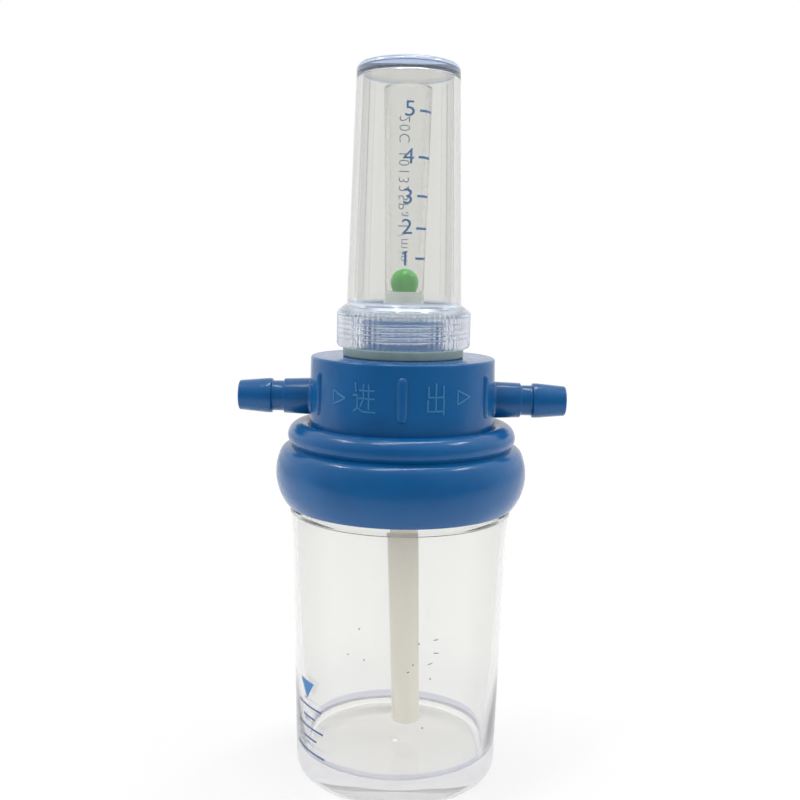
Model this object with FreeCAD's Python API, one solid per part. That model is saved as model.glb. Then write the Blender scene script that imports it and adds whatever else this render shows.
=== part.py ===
# Oxygen flowmeter with a bubble humidifier bottle, as used at the bedside.
# Oxygen enters the left hose barb, lifts the ball in the tapered flow tube, comes down
# between that tube and its cover, goes through the dip tube into the water, and leaves
# from the space above the water through the right hose barb.
# Millimetres. +Z is up along the axis of the bottle, +X points along the outlet barb,
# and the front faces -Y. The origin is on the axis, on the surface the bottle stands on.

import FreeCAD
import Part
import math
import os

# Bottle: a drafted clear cup with a thick base and a threaded neck
bottle_foot_r = 27.7
bottle_top_r = 29.5
bottle_wall = 2.3
bottle_base_t = 7.6
bottle_foot_round = 2.9
bottle_step_z = 72.9
step_ring_stand = 0.45
step_ring_h = 1.1
neck_step = 1.5
neck_wall = 2.3
neck_cone_h = 1.6
neck_h = 16.7
foot_ring_w = 1.6
foot_recess = 0.6
floor_corner_r = 0.7
inner_shoulder_drop = 0.3
bottle_thread_h = 0.95
bottle_thread_pitch = 4.0
bottle_thread_turns = 1.75
bottle_thread_root_w = 2.2
bottle_thread_crest_w = 0.9
bottle_thread_drop = 3.2
thread_sink = 0.3

# Seal ring that lies on the bottle's rim, under the head
seal_t = 1.5
seal_beyond_rim = 0.4

# Head: one blue moulding of skirt, bead, body and two hose barbs
skirt_above_ring = 1.0
skirt_lip_wall = 1.2
skirt_lip_chamfer_h = 0.4
skirt_lip_chamfer_w = 0.6
bulge_stand = 3.2
bulge_mid_drop = 7.7
bulge_turn_drop = 2.2
bulge_corner_r = 3.0
bead_arc_r = 3.5
bead_mid_out = 2.5
bead_crease_lap = 0.28
body_inset = 1.1
body_h = 23.4
body_edge_round = 0.6
body_wall = 2.4
body_roof_t = 2.6
rib_count = 6
rib_w = 3.1
rib_stand = 0.75
rib_l = 12.1
rib_top_drop = 2.9
boss_wall = 2.85
riser_bore_r = 2.2
return_bore_r = 1.7
return_boss_wall = 1.6
cross_bore_r = 1.6
gas_way_wall = 1.0
boss_floor_wall = 1.8

# Hose barbs
barb_drop = 11.3
barb_l = 19.3
barb_tip_r = 3.95
barb_tip_round = 0.4
barb_max_r = 4.65
barb_cone_l = 7.7
barb_land_l = 1.2
barb_neck_r = 4.05
barb_neck_l = 3.3
barb_root_r = 4.9
barb_root_sink = 1.6
barb_bore_r = 2.4

# Dip tube: tapered, leaning a little
dip_top_r = 4.3
dip_end_r = 3.85
dip_wall = 1.2
dip_end_above_floor = 4.4
dip_socket_depth = 12.6
dip_socket_wall = 1.8
dip_lean_deg = 1.9
dip_passage_r = 3.0

# Flow tube: clear, its bore widens upwards so that the ball rides higher in more flow
tube_ball_room = 0.2
tube_bore_widening = 1.15
tube_wall = 1.15
tube_foot_wall = 0.65
tube_foot_l = 2.0
tube_top_room = 3.0

# Ball
ball_r = 3.75

# Tube holder: one clear moulding with a threaded cup for the cover, a post that holds the
# flow tube's foot and the ball's seat, and a plug that goes down into the head
spigot_root_r = 14.2
spigot_wall = 2.6
spigot_h = 10.1
spigot_floor_t = 3.5
spigot_thread_h = 0.7
spigot_thread_pitch = 1.25
spigot_thread_count = 5
spigot_thread_flank_w = 0.44
spigot_thread_crest_w = 0.19
spigot_thread_top_drop = 0.5
post_h = 17.2
post_wall = 0.6
plug_r = 3.9
plug_l = 5.5
seat_bore_r = 1.5
seat_cone_half_deg = 45.0
seat_touch_drop = 0.2

# Seal ring under the holder's plug
plug_ring_t = 1.4
plug_ring_corner = 0.4
plug_ring_bore_room = 0.1

# Cover: one clear moulding of a knurled threaded base and a tapered closed tube
base_wall = 2.55
base_h = 9.75
base_low_round = 1.0
base_top_room = 0.8
shoulder_edge_w = 0.4
shoulder_edge_h = 0.6
shoulder_slope = 0.8
knurl_count = 72
knurl_depth = 0.3
knurl_crest_past = 0.02
cover_tube_h = 63.2
cover_inset = 2.15
cover_taper = 1.85
cover_low_wall = 2.4
cover_high_wall = 1.8
cover_roof_t = 3.0
cover_top_round = 1.8
cover_ceiling_round = 0.8

# Gasket under the cover's base
gasket_t = 2.55
gasket_inset = 1.7

# Clearances, and how far cutters pass a face and joined solids reach into each other
thread_gap = 0.35
fit_gap = 0.05
ball_gap = 0.05
gasket_gap = 0.3
past = 1.0
lap = 0.5

# Heights that follow, from the surface it stands on upwards
rim_z = bottle_step_z + neck_h
seal_top_z = rim_z + seal_t
ring_top_z = bottle_step_z + step_ring_h
neck_cone_top_z = ring_top_z + neck_cone_h
skirt_bottom_z = ring_top_z + skirt_above_ring
bulge_mid_z = seal_top_z - bulge_mid_drop
bulge_turn_z = seal_top_z - bulge_turn_drop
body_top_z = seal_top_z + body_h
cavity_top_z = body_top_z - body_roof_t
rib_high_z = body_top_z - rib_top_drop
rib_low_z = rib_high_z - rib_l
barb_z = body_top_z - barb_drop
cross_bore_z = barb_z - barb_bore_r - gas_way_wall - cross_bore_r
boss_floor_z = cross_bore_z - cross_bore_r - boss_floor_wall
dip_top_z = cross_bore_z - cross_bore_r
dip_socket_low_z = dip_top_z - dip_socket_depth
dip_end_z = bottle_base_t + dip_end_above_floor
spigot_top_z = body_top_z + spigot_h
spigot_floor_z = body_top_z + spigot_floor_t
plug_low_z = body_top_z - plug_l
socket_floor_z = plug_low_z - plug_ring_t
seat_top_z = body_top_z + post_h
tube_low_z = seat_top_z - tube_foot_l
base_low_z = body_top_z + gasket_t
shoulder_z = base_low_z + base_h
base_bore_top_z = spigot_top_z + base_top_room
cover_top_z = shoulder_z + cover_tube_h
cover_ceiling_z = cover_top_z - cover_roof_t
tube_top_z = cover_ceiling_z - tube_top_room

# Radii and distances from the axis that follow
neck_r = bottle_top_r - neck_step
neck_bore_r = neck_r - neck_wall
skirt_bore_r = neck_r + bottle_thread_h + thread_gap
skirt_lip_r = skirt_bore_r + skirt_lip_wall
bulge_r = skirt_lip_r + bulge_stand
body_r = neck_bore_r - body_inset
cavity_r = body_r - body_wall
bead_mid_r = body_r + bead_mid_out
spigot_crest_r = spigot_root_r + spigot_thread_h
spigot_bore_r = spigot_root_r - spigot_wall
return_boss_r = return_bore_r + return_boss_wall
dip_socket_r = dip_top_r + fit_gap
boss_r = dip_socket_r + boss_wall
barb_reach = body_r + barb_l
barb_root_x = body_r - barb_root_sink
tube_bore_low_r = ball_r + tube_ball_room
tube_bore_high_r = tube_bore_low_r + tube_bore_widening
tube_foot_r = tube_bore_low_r + tube_foot_wall
foot_groove_r = tube_foot_r + fit_gap
post_r = foot_groove_r + post_wall
return_x = (post_r + spigot_bore_r) / 2
base_bore_r = spigot_crest_r + thread_gap
base_r = base_bore_r + base_wall
shoulder_r = base_r - shoulder_edge_w
gasket_r = base_r - gasket_inset

# Where the cover's shoulder runs into its side, and where the side ends in the top's round
cover_lean = cover_taper / (cover_tube_h - cover_top_round)
shoulder_rise = cover_inset / (1 / shoulder_slope - cover_lean)
side_low_r = shoulder_r - shoulder_rise / shoulder_slope
side_low_z = shoulder_z + shoulder_rise
side_high_r = shoulder_r - cover_inset - cover_taper
side_high_z = cover_top_z - cover_top_round
cover_bore_low_r = side_low_r - cover_low_wall
cover_bore_high_r = side_high_r - cover_high_wall

# The ball touches its seat's cone just below the cone's rim
seat_cone_half = math.radians(seat_cone_half_deg)
seat_touch_r = ball_r * math.cos(seat_cone_half)
seat_touch_z = seat_top_z - seat_touch_drop
ball_z = seat_touch_z + ball_gap + ball_r * math.sin(seat_cone_half)

X_AXIS = FreeCAD.Vector(1, 0, 0)
Y_AXIS = FreeCAD.Vector(0, 1, 0)
Z_AXIS = FreeCAD.Vector(0, 0, 1)
ORIGIN = FreeCAD.Vector(0, 0, 0)


def at(r, z):
    """A point of an outline, at radius r and height z."""
    return FreeCAD.Vector(r, 0, z)


def line(start, end):
    return Part.LineSegment(start, end).toShape()


def arc(start, middle, end):
    return Part.Arc(start, middle, end).toShape()


def on_circle(centre, radius, degrees):
    """A point of a circle in the outline's plane, degrees up from the outward direction."""
    angle = math.radians(degrees)
    return centre + FreeCAD.Vector(radius * math.cos(angle), 0, radius * math.sin(angle))


def turned(edges):
    """The solid of revolution about Z of a closed outline."""
    return Part.Face(Part.Wire(edges)).revolve(ORIGIN, Z_AXIS, 360)


def turned_points(points):
    """The solid of revolution of an outline of straight lines."""
    return Part.Face(Part.makePolygon(points + [points[0]])).revolve(ORIGIN, Z_AXIS, 360)


def rod(radius, low_z, high_z, x=0.0):
    return Part.makeCylinder(radius, high_z - low_z, at(x, low_z), Z_AXIS)


def cone(low_r, high_r, low_z, high_z):
    """A plain frustum, or a cylinder where both radii are alike."""
    return turned_points([at(0, low_z), at(low_r, low_z), at(high_r, high_z), at(0, high_z)])


def bottle_outer_r(z):
    """Radius of the bottle's outside, which widens evenly from foot to step."""
    share = (z - bottle_foot_round) / (bottle_step_z - bottle_foot_round)
    return bottle_foot_r + share * (bottle_top_r - bottle_foot_r)


def helical_ridge(root_r, height, pitch, turns, low_z, root_w, crest_w):
    """A thread's ridge, its root sunk a little into the neck that carries it."""
    path = Part.makeHelix(pitch, pitch * turns, root_r)
    path.translate(FreeCAD.Vector(0, 0, low_z))
    section = Part.makePolygon([
        at(root_r - thread_sink, low_z - root_w / 2),
        at(root_r + height, low_z - crest_w / 2),
        at(root_r + height, low_z + crest_w / 2),
        at(root_r - thread_sink, low_z + root_w / 2),
        at(root_r - thread_sink, low_z - root_w / 2),
    ])
    return Part.Wire(path.Edges).makePipeShell([section], True, True)


def make_bottle():
    foot_centre = at(bottle_foot_r - bottle_foot_round, bottle_foot_round)
    ring_r = bottle_top_r + step_ring_stand
    foot_recess_r = foot_centre.x - foot_ring_w - foot_recess
    inner_top_z = bottle_step_z - inner_shoulder_drop
    inner_low_r = bottle_outer_r(bottle_base_t) - bottle_wall
    corner_centre = at(inner_low_r - floor_corner_r, bottle_base_t + floor_corner_r)
    outline = [
        line(at(0, foot_recess), at(foot_recess_r, foot_recess)),
        line(at(foot_recess_r, foot_recess), at(foot_recess_r + foot_recess, 0)),
        line(at(foot_recess_r + foot_recess, 0), at(foot_centre.x, 0)),
        arc(at(foot_centre.x, 0), on_circle(foot_centre, bottle_foot_round, -45),
            at(bottle_foot_r, bottle_foot_round)),
        line(at(bottle_foot_r, bottle_foot_round), at(bottle_top_r, bottle_step_z)),
        line(at(bottle_top_r, bottle_step_z), at(ring_r, bottle_step_z)),
        line(at(ring_r, bottle_step_z), at(ring_r, ring_top_z)),
        line(at(ring_r, ring_top_z), at(neck_r, neck_cone_top_z)),
        line(at(neck_r, neck_cone_top_z), at(neck_r, rim_z)),
        line(at(neck_r, rim_z), at(neck_bore_r, rim_z)),
        line(at(neck_bore_r, rim_z), at(neck_bore_r, neck_cone_top_z)),
        line(at(neck_bore_r, neck_cone_top_z), at(bottle_top_r - bottle_wall, inner_top_z)),
        line(at(bottle_top_r - bottle_wall, inner_top_z), at(inner_low_r, corner_centre.z)),
        arc(at(inner_low_r, corner_centre.z), on_circle(corner_centre, floor_corner_r, -45),
            at(corner_centre.x, bottle_base_t)),
        line(at(corner_centre.x, bottle_base_t), at(0, bottle_base_t)),
        line(at(0, bottle_base_t), at(0, foot_recess)),
    ]
    thread_rise = bottle_thread_pitch * bottle_thread_turns
    thread = helical_ridge(neck_r, bottle_thread_h, bottle_thread_pitch, bottle_thread_turns,
                           rim_z - bottle_thread_drop - thread_rise,
                           bottle_thread_root_w, bottle_thread_crest_w)
    return turned(outline).fuse(thread)


def make_bottle_seal():
    inner_r = neck_bore_r
    outer_r = neck_r + seal_beyond_rim
    return turned_points([at(inner_r, rim_z), at(outer_r, rim_z),
                          at(outer_r, seal_top_z), at(inner_r, seal_top_z)])


def circles_meet(centre_a, radius_a, centre_b, radius_b):
    """The outer one of the two points where two circles of the outline cross."""
    apart = centre_b.sub(centre_a)
    d = apart.Length
    along = (d * d + radius_a * radius_a - radius_b * radius_b) / (2 * d)
    aside = math.sqrt(radius_a * radius_a - along * along)
    unit = FreeCAD.Vector(apart.x / d, 0, apart.z / d)
    outward = FreeCAD.Vector(unit.z, 0, -unit.x)
    return centre_a + unit * along + outward * aside


def degrees_at(centre, point):
    return math.degrees(math.atan2(point.z - centre.z, point.x - centre.x))


def head_skin():
    """The head's outside as one solid, from the skirt's lip to the body's flat top."""
    lip_top = at(skirt_lip_r + skirt_lip_chamfer_w, skirt_bottom_z + skirt_lip_chamfer_h)
    lip_in = bulge_r - lip_top.x
    lip_down = bulge_mid_z - lip_top.z
    bulge_arc_r = (lip_in ** 2 + lip_down ** 2) / (2 * lip_in)
    bulge_centre = at(bulge_r - bulge_arc_r, bulge_mid_z)
    turn_deg = math.degrees(math.asin((bulge_turn_z - bulge_mid_z) / bulge_arc_r))
    bulge_turn = on_circle(bulge_centre, bulge_arc_r, turn_deg)
    corner_centre = on_circle(bulge_centre, bulge_arc_r - bulge_corner_r, turn_deg)
    centres_apart = bulge_corner_r + bead_arc_r - bead_crease_lap
    bead_up = math.sqrt(centres_apart ** 2 - (corner_centre.x - bead_mid_r) ** 2)
    bead_centre = at(bead_mid_r, corner_centre.z + bead_up)
    crease = circles_meet(corner_centre, bulge_corner_r, bead_centre, bead_arc_r)
    corner_end_deg = degrees_at(corner_centre, crease)
    corner_middle = on_circle(corner_centre, bulge_corner_r, (turn_deg + corner_end_deg) / 2)
    bead_top = at(body_r, bead_centre.z + math.sqrt(bead_arc_r ** 2 - bead_mid_out ** 2))
    edge_centre = at(body_r - body_edge_round, body_top_z - body_edge_round)
    edges = [
        line(at(0, skirt_bottom_z), at(skirt_lip_r, skirt_bottom_z)),
        line(at(skirt_lip_r, skirt_bottom_z), lip_top),
        arc(lip_top, at(bulge_r, bulge_mid_z), bulge_turn),
        arc(bulge_turn, corner_middle, crease),
        arc(crease, on_circle(bead_centre, bead_arc_r, 0), bead_top),
        line(bead_top, at(body_r, edge_centre.z)),
        arc(at(body_r, edge_centre.z), on_circle(edge_centre, body_edge_round, 45),
            at(edge_centre.x, body_top_z)),
        line(at(edge_centre.x, body_top_z), at(0, body_top_z)),
        line(at(0, body_top_z), at(0, skirt_bottom_z)),
    ]
    return turned(edges)


def rib(degrees):
    """A round upright bar, half sunk in the body, that gives the hand a grip."""
    radius = rib_w / 2
    centre_r = body_r + rib_stand - radius
    bar = rod(radius, rib_low_z + radius, rib_high_z - radius, centre_r)
    for z in (rib_low_z + radius, rib_high_z - radius):
        bar = bar.fuse(Part.makeSphere(radius, FreeCAD.Vector(centre_r, 0, z)))
    bar.rotate(ORIGIN, Z_AXIS, degrees)
    return bar


def barb_skin():
    """One hose barb with its root, turned about the X axis on the +X side."""
    land_end_x = barb_reach - barb_cone_l
    land_start_x = land_end_x - barb_land_l
    neck_start_x = land_start_x - barb_neck_l
    outline = Part.makePolygon([
        FreeCAD.Vector(barb_root_x, 0, 0),
        FreeCAD.Vector(barb_root_x, 0, barb_root_r),
        FreeCAD.Vector(neck_start_x, 0, barb_max_r),
        FreeCAD.Vector(neck_start_x, 0, barb_neck_r),
        FreeCAD.Vector(land_start_x, 0, barb_neck_r),
        FreeCAD.Vector(land_start_x, 0, barb_max_r),
        FreeCAD.Vector(land_end_x, 0, barb_max_r),
        FreeCAD.Vector(barb_reach - barb_tip_round, 0, barb_tip_r),
        FreeCAD.Vector(barb_reach, 0, barb_tip_r - barb_tip_round),
        FreeCAD.Vector(barb_reach, 0, 0),
        FreeCAD.Vector(barb_root_x, 0, 0),
    ])
    barb = Part.Face(outline).revolve(ORIGIN, X_AXIS, 360)
    barb.translate(FreeCAD.Vector(0, 0, barb_z))
    return barb


def lean_with_dip_tube(shape):
    """Tips a shape with the dip tube, about the stop in its socket."""
    shape.rotate(at(0, dip_top_z), Y_AXIS, -dip_lean_deg)
    return shape


def gas_way_boss():
    """What hangs inside the head: a central boss, the return way beside it, and a sleeve."""
    high_z = cavity_top_z + lap
    boss = rod(boss_r, boss_floor_z, high_z)
    boss = boss.fuse(rod(return_boss_r, boss_floor_z, high_z, return_x))
    web = Part.makeBox(return_x, 2 * return_boss_r, high_z - boss_floor_z,
                       FreeCAD.Vector(0, -return_boss_r, boss_floor_z))
    duct = Part.makeCylinder(barb_root_r, cavity_r + lap,
                             FreeCAD.Vector(-cavity_r - lap, 0, barb_z), X_AXIS)
    sleeve = rod(dip_socket_r + dip_socket_wall, dip_socket_low_z, dip_top_z)
    return boss.fuse([web, duct, lean_with_dip_tube(sleeve)])


def gas_ways():
    """The cutters of every bore in the head, in the order in which the gas meets them."""
    inlet = Part.makeCylinder(barb_bore_r, barb_reach + riser_bore_r + past,
                              FreeCAD.Vector(-barb_reach - past, 0, barb_z), X_AXIS)
    riser = rod(riser_bore_r, barb_z, socket_floor_z + past)
    plug_socket = rod(plug_r + fit_gap, socket_floor_z, body_top_z + past)
    return_way = rod(return_bore_r, cross_bore_z, body_top_z + past, return_x)
    cross_way = Part.makeCylinder(cross_bore_r, return_x,
                                  FreeCAD.Vector(0, 0, cross_bore_z), X_AXIS)
    dip_passage = rod(dip_passage_r, dip_top_z - lap, cross_bore_z + cross_bore_r)
    dip_socket = lean_with_dip_tube(rod(dip_socket_r, dip_socket_low_z - past, dip_top_z))
    outlet = Part.makeCylinder(barb_bore_r, barb_reach - cavity_r + 2 * past,
                               FreeCAD.Vector(cavity_r - past, 0, barb_z), X_AXIS)
    return [inlet, riser, plug_socket, return_way, cross_way, dip_passage, dip_socket, outlet]


def make_head():
    outlet_barb = barb_skin()
    inlet_barb = outlet_barb.mirror(ORIGIN, X_AXIS)
    ribs = [rib(-90 + index * 360 / rib_count) for index in range(rib_count)]
    head = head_skin().fuse([outlet_barb, inlet_barb] + ribs)
    cavity = rod(skirt_bore_r, skirt_bottom_z - past, seal_top_z)
    cavity = cavity.fuse(rod(cavity_r, seal_top_z - past, cavity_top_z))
    return head.cut(cavity).fuse(gas_way_boss()).cut(gas_ways())


def make_dip_tube():
    outer = cone(dip_end_r, dip_top_r, dip_end_z, dip_socket_low_z)
    outer = outer.fuse(rod(dip_top_r, dip_socket_low_z, dip_top_z))
    bore = cone(dip_end_r - dip_wall, dip_top_r - dip_wall, dip_end_z - 1, dip_top_z + 1)
    return lean_with_dip_tube(outer.cut(bore).removeSplitter())


def make_cover_gasket():
    inner_r = spigot_root_r + gasket_gap
    return turned_points([at(inner_r, body_top_z), at(gasket_r, body_top_z),
                          at(gasket_r, base_low_z), at(inner_r, base_low_z)])


def make_tube_holder():
    cone_slope = math.tan(seat_cone_half)
    mouth_r = seat_touch_r + seat_touch_drop * cone_slope
    mouth_low_z = seat_touch_z - (seat_touch_r - seat_bore_r) / cone_slope
    nozzle_r = tube_bore_low_r - fit_gap
    outline = [
        at(seat_bore_r, plug_low_z),
        at(plug_r, plug_low_z),
        at(plug_r, body_top_z),
        at(spigot_root_r, body_top_z),
    ]
    ridge_w = 2 * spigot_thread_flank_w + spigot_thread_crest_w
    for turn in range(spigot_thread_count - 1, -1, -1):
        low = spigot_top_z - spigot_thread_top_drop - ridge_w - turn * spigot_thread_pitch
        outline.append(at(spigot_root_r, low))
        outline.append(at(spigot_crest_r, low + spigot_thread_flank_w))
        outline.append(at(spigot_crest_r, low + ridge_w - spigot_thread_flank_w))
        outline.append(at(spigot_root_r, low + ridge_w))
    outline += [
        at(spigot_root_r, spigot_top_z),
        at(spigot_bore_r, spigot_top_z),
        at(spigot_bore_r, spigot_floor_z),
        at(post_r, spigot_floor_z),
        at(post_r, seat_top_z),
        at(foot_groove_r, seat_top_z),
        at(foot_groove_r, tube_low_z),
        at(nozzle_r, tube_low_z),
        at(nozzle_r, seat_top_z),
        at(mouth_r, seat_top_z),
        at(seat_bore_r, mouth_low_z),
    ]
    return_way = rod(return_bore_r, body_top_z - past, spigot_floor_z + past, return_x)
    return turned_points(outline).cut(return_way)


def make_plug_ring():
    inner_r = riser_bore_r + plug_ring_bore_room
    return turned_points([
        at(inner_r, socket_floor_z + plug_ring_corner),
        at(inner_r + plug_ring_corner, socket_floor_z),
        at(plug_r - plug_ring_corner, socket_floor_z),
        at(plug_r, socket_floor_z + plug_ring_corner),
        at(plug_r, plug_low_z - plug_ring_corner),
        at(plug_r - plug_ring_corner, plug_low_z),
        at(inner_r + plug_ring_corner, plug_low_z),
        at(inner_r, plug_low_z - plug_ring_corner),
    ])


def make_flow_tube():
    return turned_points([
        at(tube_bore_low_r, tube_low_z),
        at(tube_foot_r, tube_low_z),
        at(tube_foot_r, seat_top_z),
        at(tube_bore_low_r + tube_wall, seat_top_z),
        at(tube_bore_high_r + tube_wall, tube_top_z),
        at(tube_bore_high_r, tube_top_z),
        at(tube_bore_low_r, seat_top_z),
    ])


def make_float_ball():
    return Part.makeSphere(ball_r, at(0, ball_z))


def make_cover_skin():
    """The cover's turned outside: base, sloping shoulder, tapered side and rounded top."""
    low_centre = at(base_r - base_low_round, base_low_z + base_low_round)
    top_centre = at(side_high_r - cover_top_round, side_high_z)
    return turned([
        line(at(0, base_low_z), at(low_centre.x, base_low_z)),
        arc(at(low_centre.x, base_low_z), on_circle(low_centre, base_low_round, -45),
            at(base_r, low_centre.z)),
        line(at(base_r, low_centre.z), at(base_r, shoulder_z - shoulder_edge_h)),
        line(at(base_r, shoulder_z - shoulder_edge_h), at(shoulder_r, shoulder_z)),
        line(at(shoulder_r, shoulder_z), at(side_low_r, side_low_z)),
        line(at(side_low_r, side_low_z), at(side_high_r, side_high_z)),
        arc(at(side_high_r, side_high_z), on_circle(top_centre, cover_top_round, 45),
            at(top_centre.x, cover_top_z)),
        line(at(top_centre.x, cover_top_z), at(0, cover_top_z)),
        line(at(0, cover_top_z), at(0, base_low_z)),
    ])


def make_knurl():
    """An upright prism with fine ridges, which the base's wall is cut to."""
    star = []
    for index in range(2 * knurl_count + 1):
        angle = math.radians(index * 180 / knurl_count)
        radius = base_r + knurl_crest_past if index % 2 == 0 else base_r - knurl_depth
        star.append(FreeCAD.Vector(radius * math.cos(angle), radius * math.sin(angle), base_low_z))
    return Part.Face(Part.makePolygon(star)).extrude(
        FreeCAD.Vector(0, 0, cover_top_z - base_low_z))


def make_cover_bore():
    """The tapered room for the flow tube, closed by a ceiling with a rounded corner."""
    low_z = base_bore_top_z - lap
    round_centre = at(cover_bore_high_r - cover_ceiling_round,
                      cover_ceiling_z - cover_ceiling_round)
    return turned([
        line(at(0, low_z), at(cover_bore_low_r, low_z)),
        line(at(cover_bore_low_r, low_z), at(cover_bore_high_r, round_centre.z)),
        arc(at(cover_bore_high_r, round_centre.z),
            on_circle(round_centre, cover_ceiling_round, 45),
            at(round_centre.x, cover_ceiling_z)),
        line(at(round_centre.x, cover_ceiling_z), at(0, cover_ceiling_z)),
        line(at(0, cover_ceiling_z), at(0, low_z)),
    ])


def make_flow_cover():
    thread_bore = rod(base_bore_r, base_low_z - past, base_bore_top_z)
    return make_cover_skin().common(make_knurl()).cut([thread_bore, make_cover_bore()])


parts = {
    "bottle": make_bottle(),
    "bottle_seal": make_bottle_seal(),
    "head": make_head(),
    "dip_tube": make_dip_tube(),
    "cover_gasket": make_cover_gasket(),
    "tube_holder": make_tube_holder(),
    "plug_ring": make_plug_ring(),
    "flow_tube": make_flow_tube(),
    "float_ball": make_float_ball(),
    "flow_cover": make_flow_cover(),
}

os.makedirs("parts", exist_ok=True)
for name, shape in parts.items():
    box = shape.BoundBox
    print(name, "solids", len(shape.Solids), "valid", shape.isValid(),
          "volume %.1f" % shape.Volume,
          "x %.2f %.2f y %.2f %.2f z %.2f %.2f" % (
              box.XMin, box.XMax, box.YMin, box.YMax, box.ZMin, box.ZMax))
    shape.exportStep("parts/" + name + ".step")
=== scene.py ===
# %% [markdown]
# # A bedside oxygen flowmeter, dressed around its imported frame
#
# The real object is a handful of mouldings that screw together: a clear cover over a ball in
# a tapered tube, a blue head with two hose barbs, and a clear bottle that holds water. The
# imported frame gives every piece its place, so each look is built where the frame says. The
# outlines below are in millimetres, because that is how a mould is drawn, and one scale
# factor turns them into Blender's metres.

# %% Load the frame
import math
import random

import bmesh
import bpy
from mathutils import Matrix, Vector


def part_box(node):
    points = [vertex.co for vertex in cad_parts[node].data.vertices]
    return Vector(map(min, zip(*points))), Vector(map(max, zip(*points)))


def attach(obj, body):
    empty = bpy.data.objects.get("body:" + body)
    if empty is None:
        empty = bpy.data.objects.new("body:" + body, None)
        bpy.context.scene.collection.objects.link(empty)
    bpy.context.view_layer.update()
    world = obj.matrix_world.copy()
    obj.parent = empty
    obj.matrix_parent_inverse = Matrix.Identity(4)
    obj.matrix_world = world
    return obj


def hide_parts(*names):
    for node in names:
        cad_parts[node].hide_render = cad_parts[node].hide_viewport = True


MM = 0.001
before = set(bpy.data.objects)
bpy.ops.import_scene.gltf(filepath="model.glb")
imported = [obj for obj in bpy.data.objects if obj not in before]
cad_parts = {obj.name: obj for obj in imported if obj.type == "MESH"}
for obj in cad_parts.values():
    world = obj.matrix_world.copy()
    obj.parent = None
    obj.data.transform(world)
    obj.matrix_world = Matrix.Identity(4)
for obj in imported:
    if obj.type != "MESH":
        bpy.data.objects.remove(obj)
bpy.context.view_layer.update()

# %% [markdown]
# ## Reading sizes off the frame
#
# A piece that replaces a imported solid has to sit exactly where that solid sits. Typing its
# height again invites mistakes, so the heights and the outer radii are read from the boxes
# of the nodes. Only what a box can't tell, such as a wall or a rounding, is a number here.

# %% Boxes of the nodes, in millimetres


def box_mm(node):
    low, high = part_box(node)
    return low / MM, high / MM


bottle_high = box_mm("bottle")[1]
seal_high = box_mm("bottle_seal")[1]
head_low, head_high = box_mm("head")
gasket_low, gasket_high = box_mm("cover_gasket")
holder_low, holder_high = box_mm("tube_holder")
tube_low, tube_high = box_mm("flow_tube")
ball_low, ball_high = box_mm("float_ball")
cover_low, cover_high = box_mm("flow_cover")
for node in ("bottle", "head", "flow_cover"):
    low, high = box_mm(node)
    print(node, "from", [round(x, 2) for x in low], "to", [round(x, 2) for x in high])

# %% [markdown]
# ## Outlines with rounded corners
#
# Moulded plastic has no knife edges: every corner of the mould is eased. In clear plastic
# those small roundings are what draws the bright and dark lines along an edge. An outline
# here is a list of corners (r, z, rounding), and one helper turns each rounding into an arc.

# %% A helper for rounded outlines


def rounded(corners, steps=4, closed=False):
    """The points of an outline, with an arc in place of each corner that has a rounding."""
    points = []
    last = len(corners) - 1
    for index, (r, z, rounding) in enumerate(corners):
        here = Vector((r, 0, z))
        if rounding == 0 or (not closed and index in (0, last)):
            points.append(here)
            continue
        before = corners[index - 1]
        after = corners[(index + 1) % len(corners)]
        back = (Vector((before[0], 0, before[1])) - here).normalized()
        ahead = (Vector((after[0], 0, after[1])) - here).normalized()
        half = back.angle(ahead) / 2
        centre = here + (back + ahead).normalized() * (rounding / math.sin(half))
        start = here + back * (rounding / math.tan(half)) - centre
        end = here + ahead * (rounding / math.tan(half)) - centre
        for step in range(steps + 1):
            points.append(centre + start.slerp(end, step / steps) * rounding)
    return points


def arc(centre_r, centre_z, radius, start_deg, end_deg, steps):
    """Corners along an arc of an outline, in degrees up from the outward direction."""
    corners = []
    for step in range(steps + 1):
        angle = math.radians(start_deg + (end_deg - start_deg) * step / steps)
        corners.append((centre_r + radius * math.cos(angle),
                        centre_z + radius * math.sin(angle), 0))
    return corners


print("a square corner becomes", len(rounded([(0, 0, 0), (5, 0, 1), (5, 5, 0)])), "points")

# %% [markdown]
# ## Turning an outline
#
# Almost every piece is round about the same axis. The spin operator with use_merge closes
# the full turn without a seam. Points on the axis pile up at each pole, so doubles are merged
# after the spin, and only then are the normals made to point outwards.

# %% Spin, clean and finish


def turned(points, steps=160, closed=False):
    """A closed bmesh, in metres, made by turning an outline about the Z axis."""
    shape = bmesh.new()
    verts = [shape.verts.new(point * MM) for point in points]
    edges = [shape.edges.new(pair) for pair in zip(verts, verts[1:])]
    if closed:
        edges.append(shape.edges.new((verts[-1], verts[0])))
    bmesh.ops.spin(shape, geom=verts + edges, cent=(0, 0, 0), axis=(0, 0, 1),
                   angle=2 * math.pi, steps=steps, use_merge=True)
    bmesh.ops.remove_doubles(shape, verts=shape.verts, dist=0.0005 * MM)
    bmesh.ops.recalc_face_normals(shape, faces=shape.faces)
    return shape


def as_object(shape, name):
    mesh = bpy.data.meshes.new(name)
    shape.to_mesh(mesh)
    shape.free()
    made = bpy.data.objects.new(name, mesh)
    bpy.context.scene.collection.objects.link(made)
    return made


def smooth(piece, sharp_deg=32):
    """Shades a piece smooth, and keeps the edges that turn by more than sharp_deg."""
    piece.data.shade_smooth()
    piece.data.set_sharp_from_angle(angle=math.radians(sharp_deg))


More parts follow.
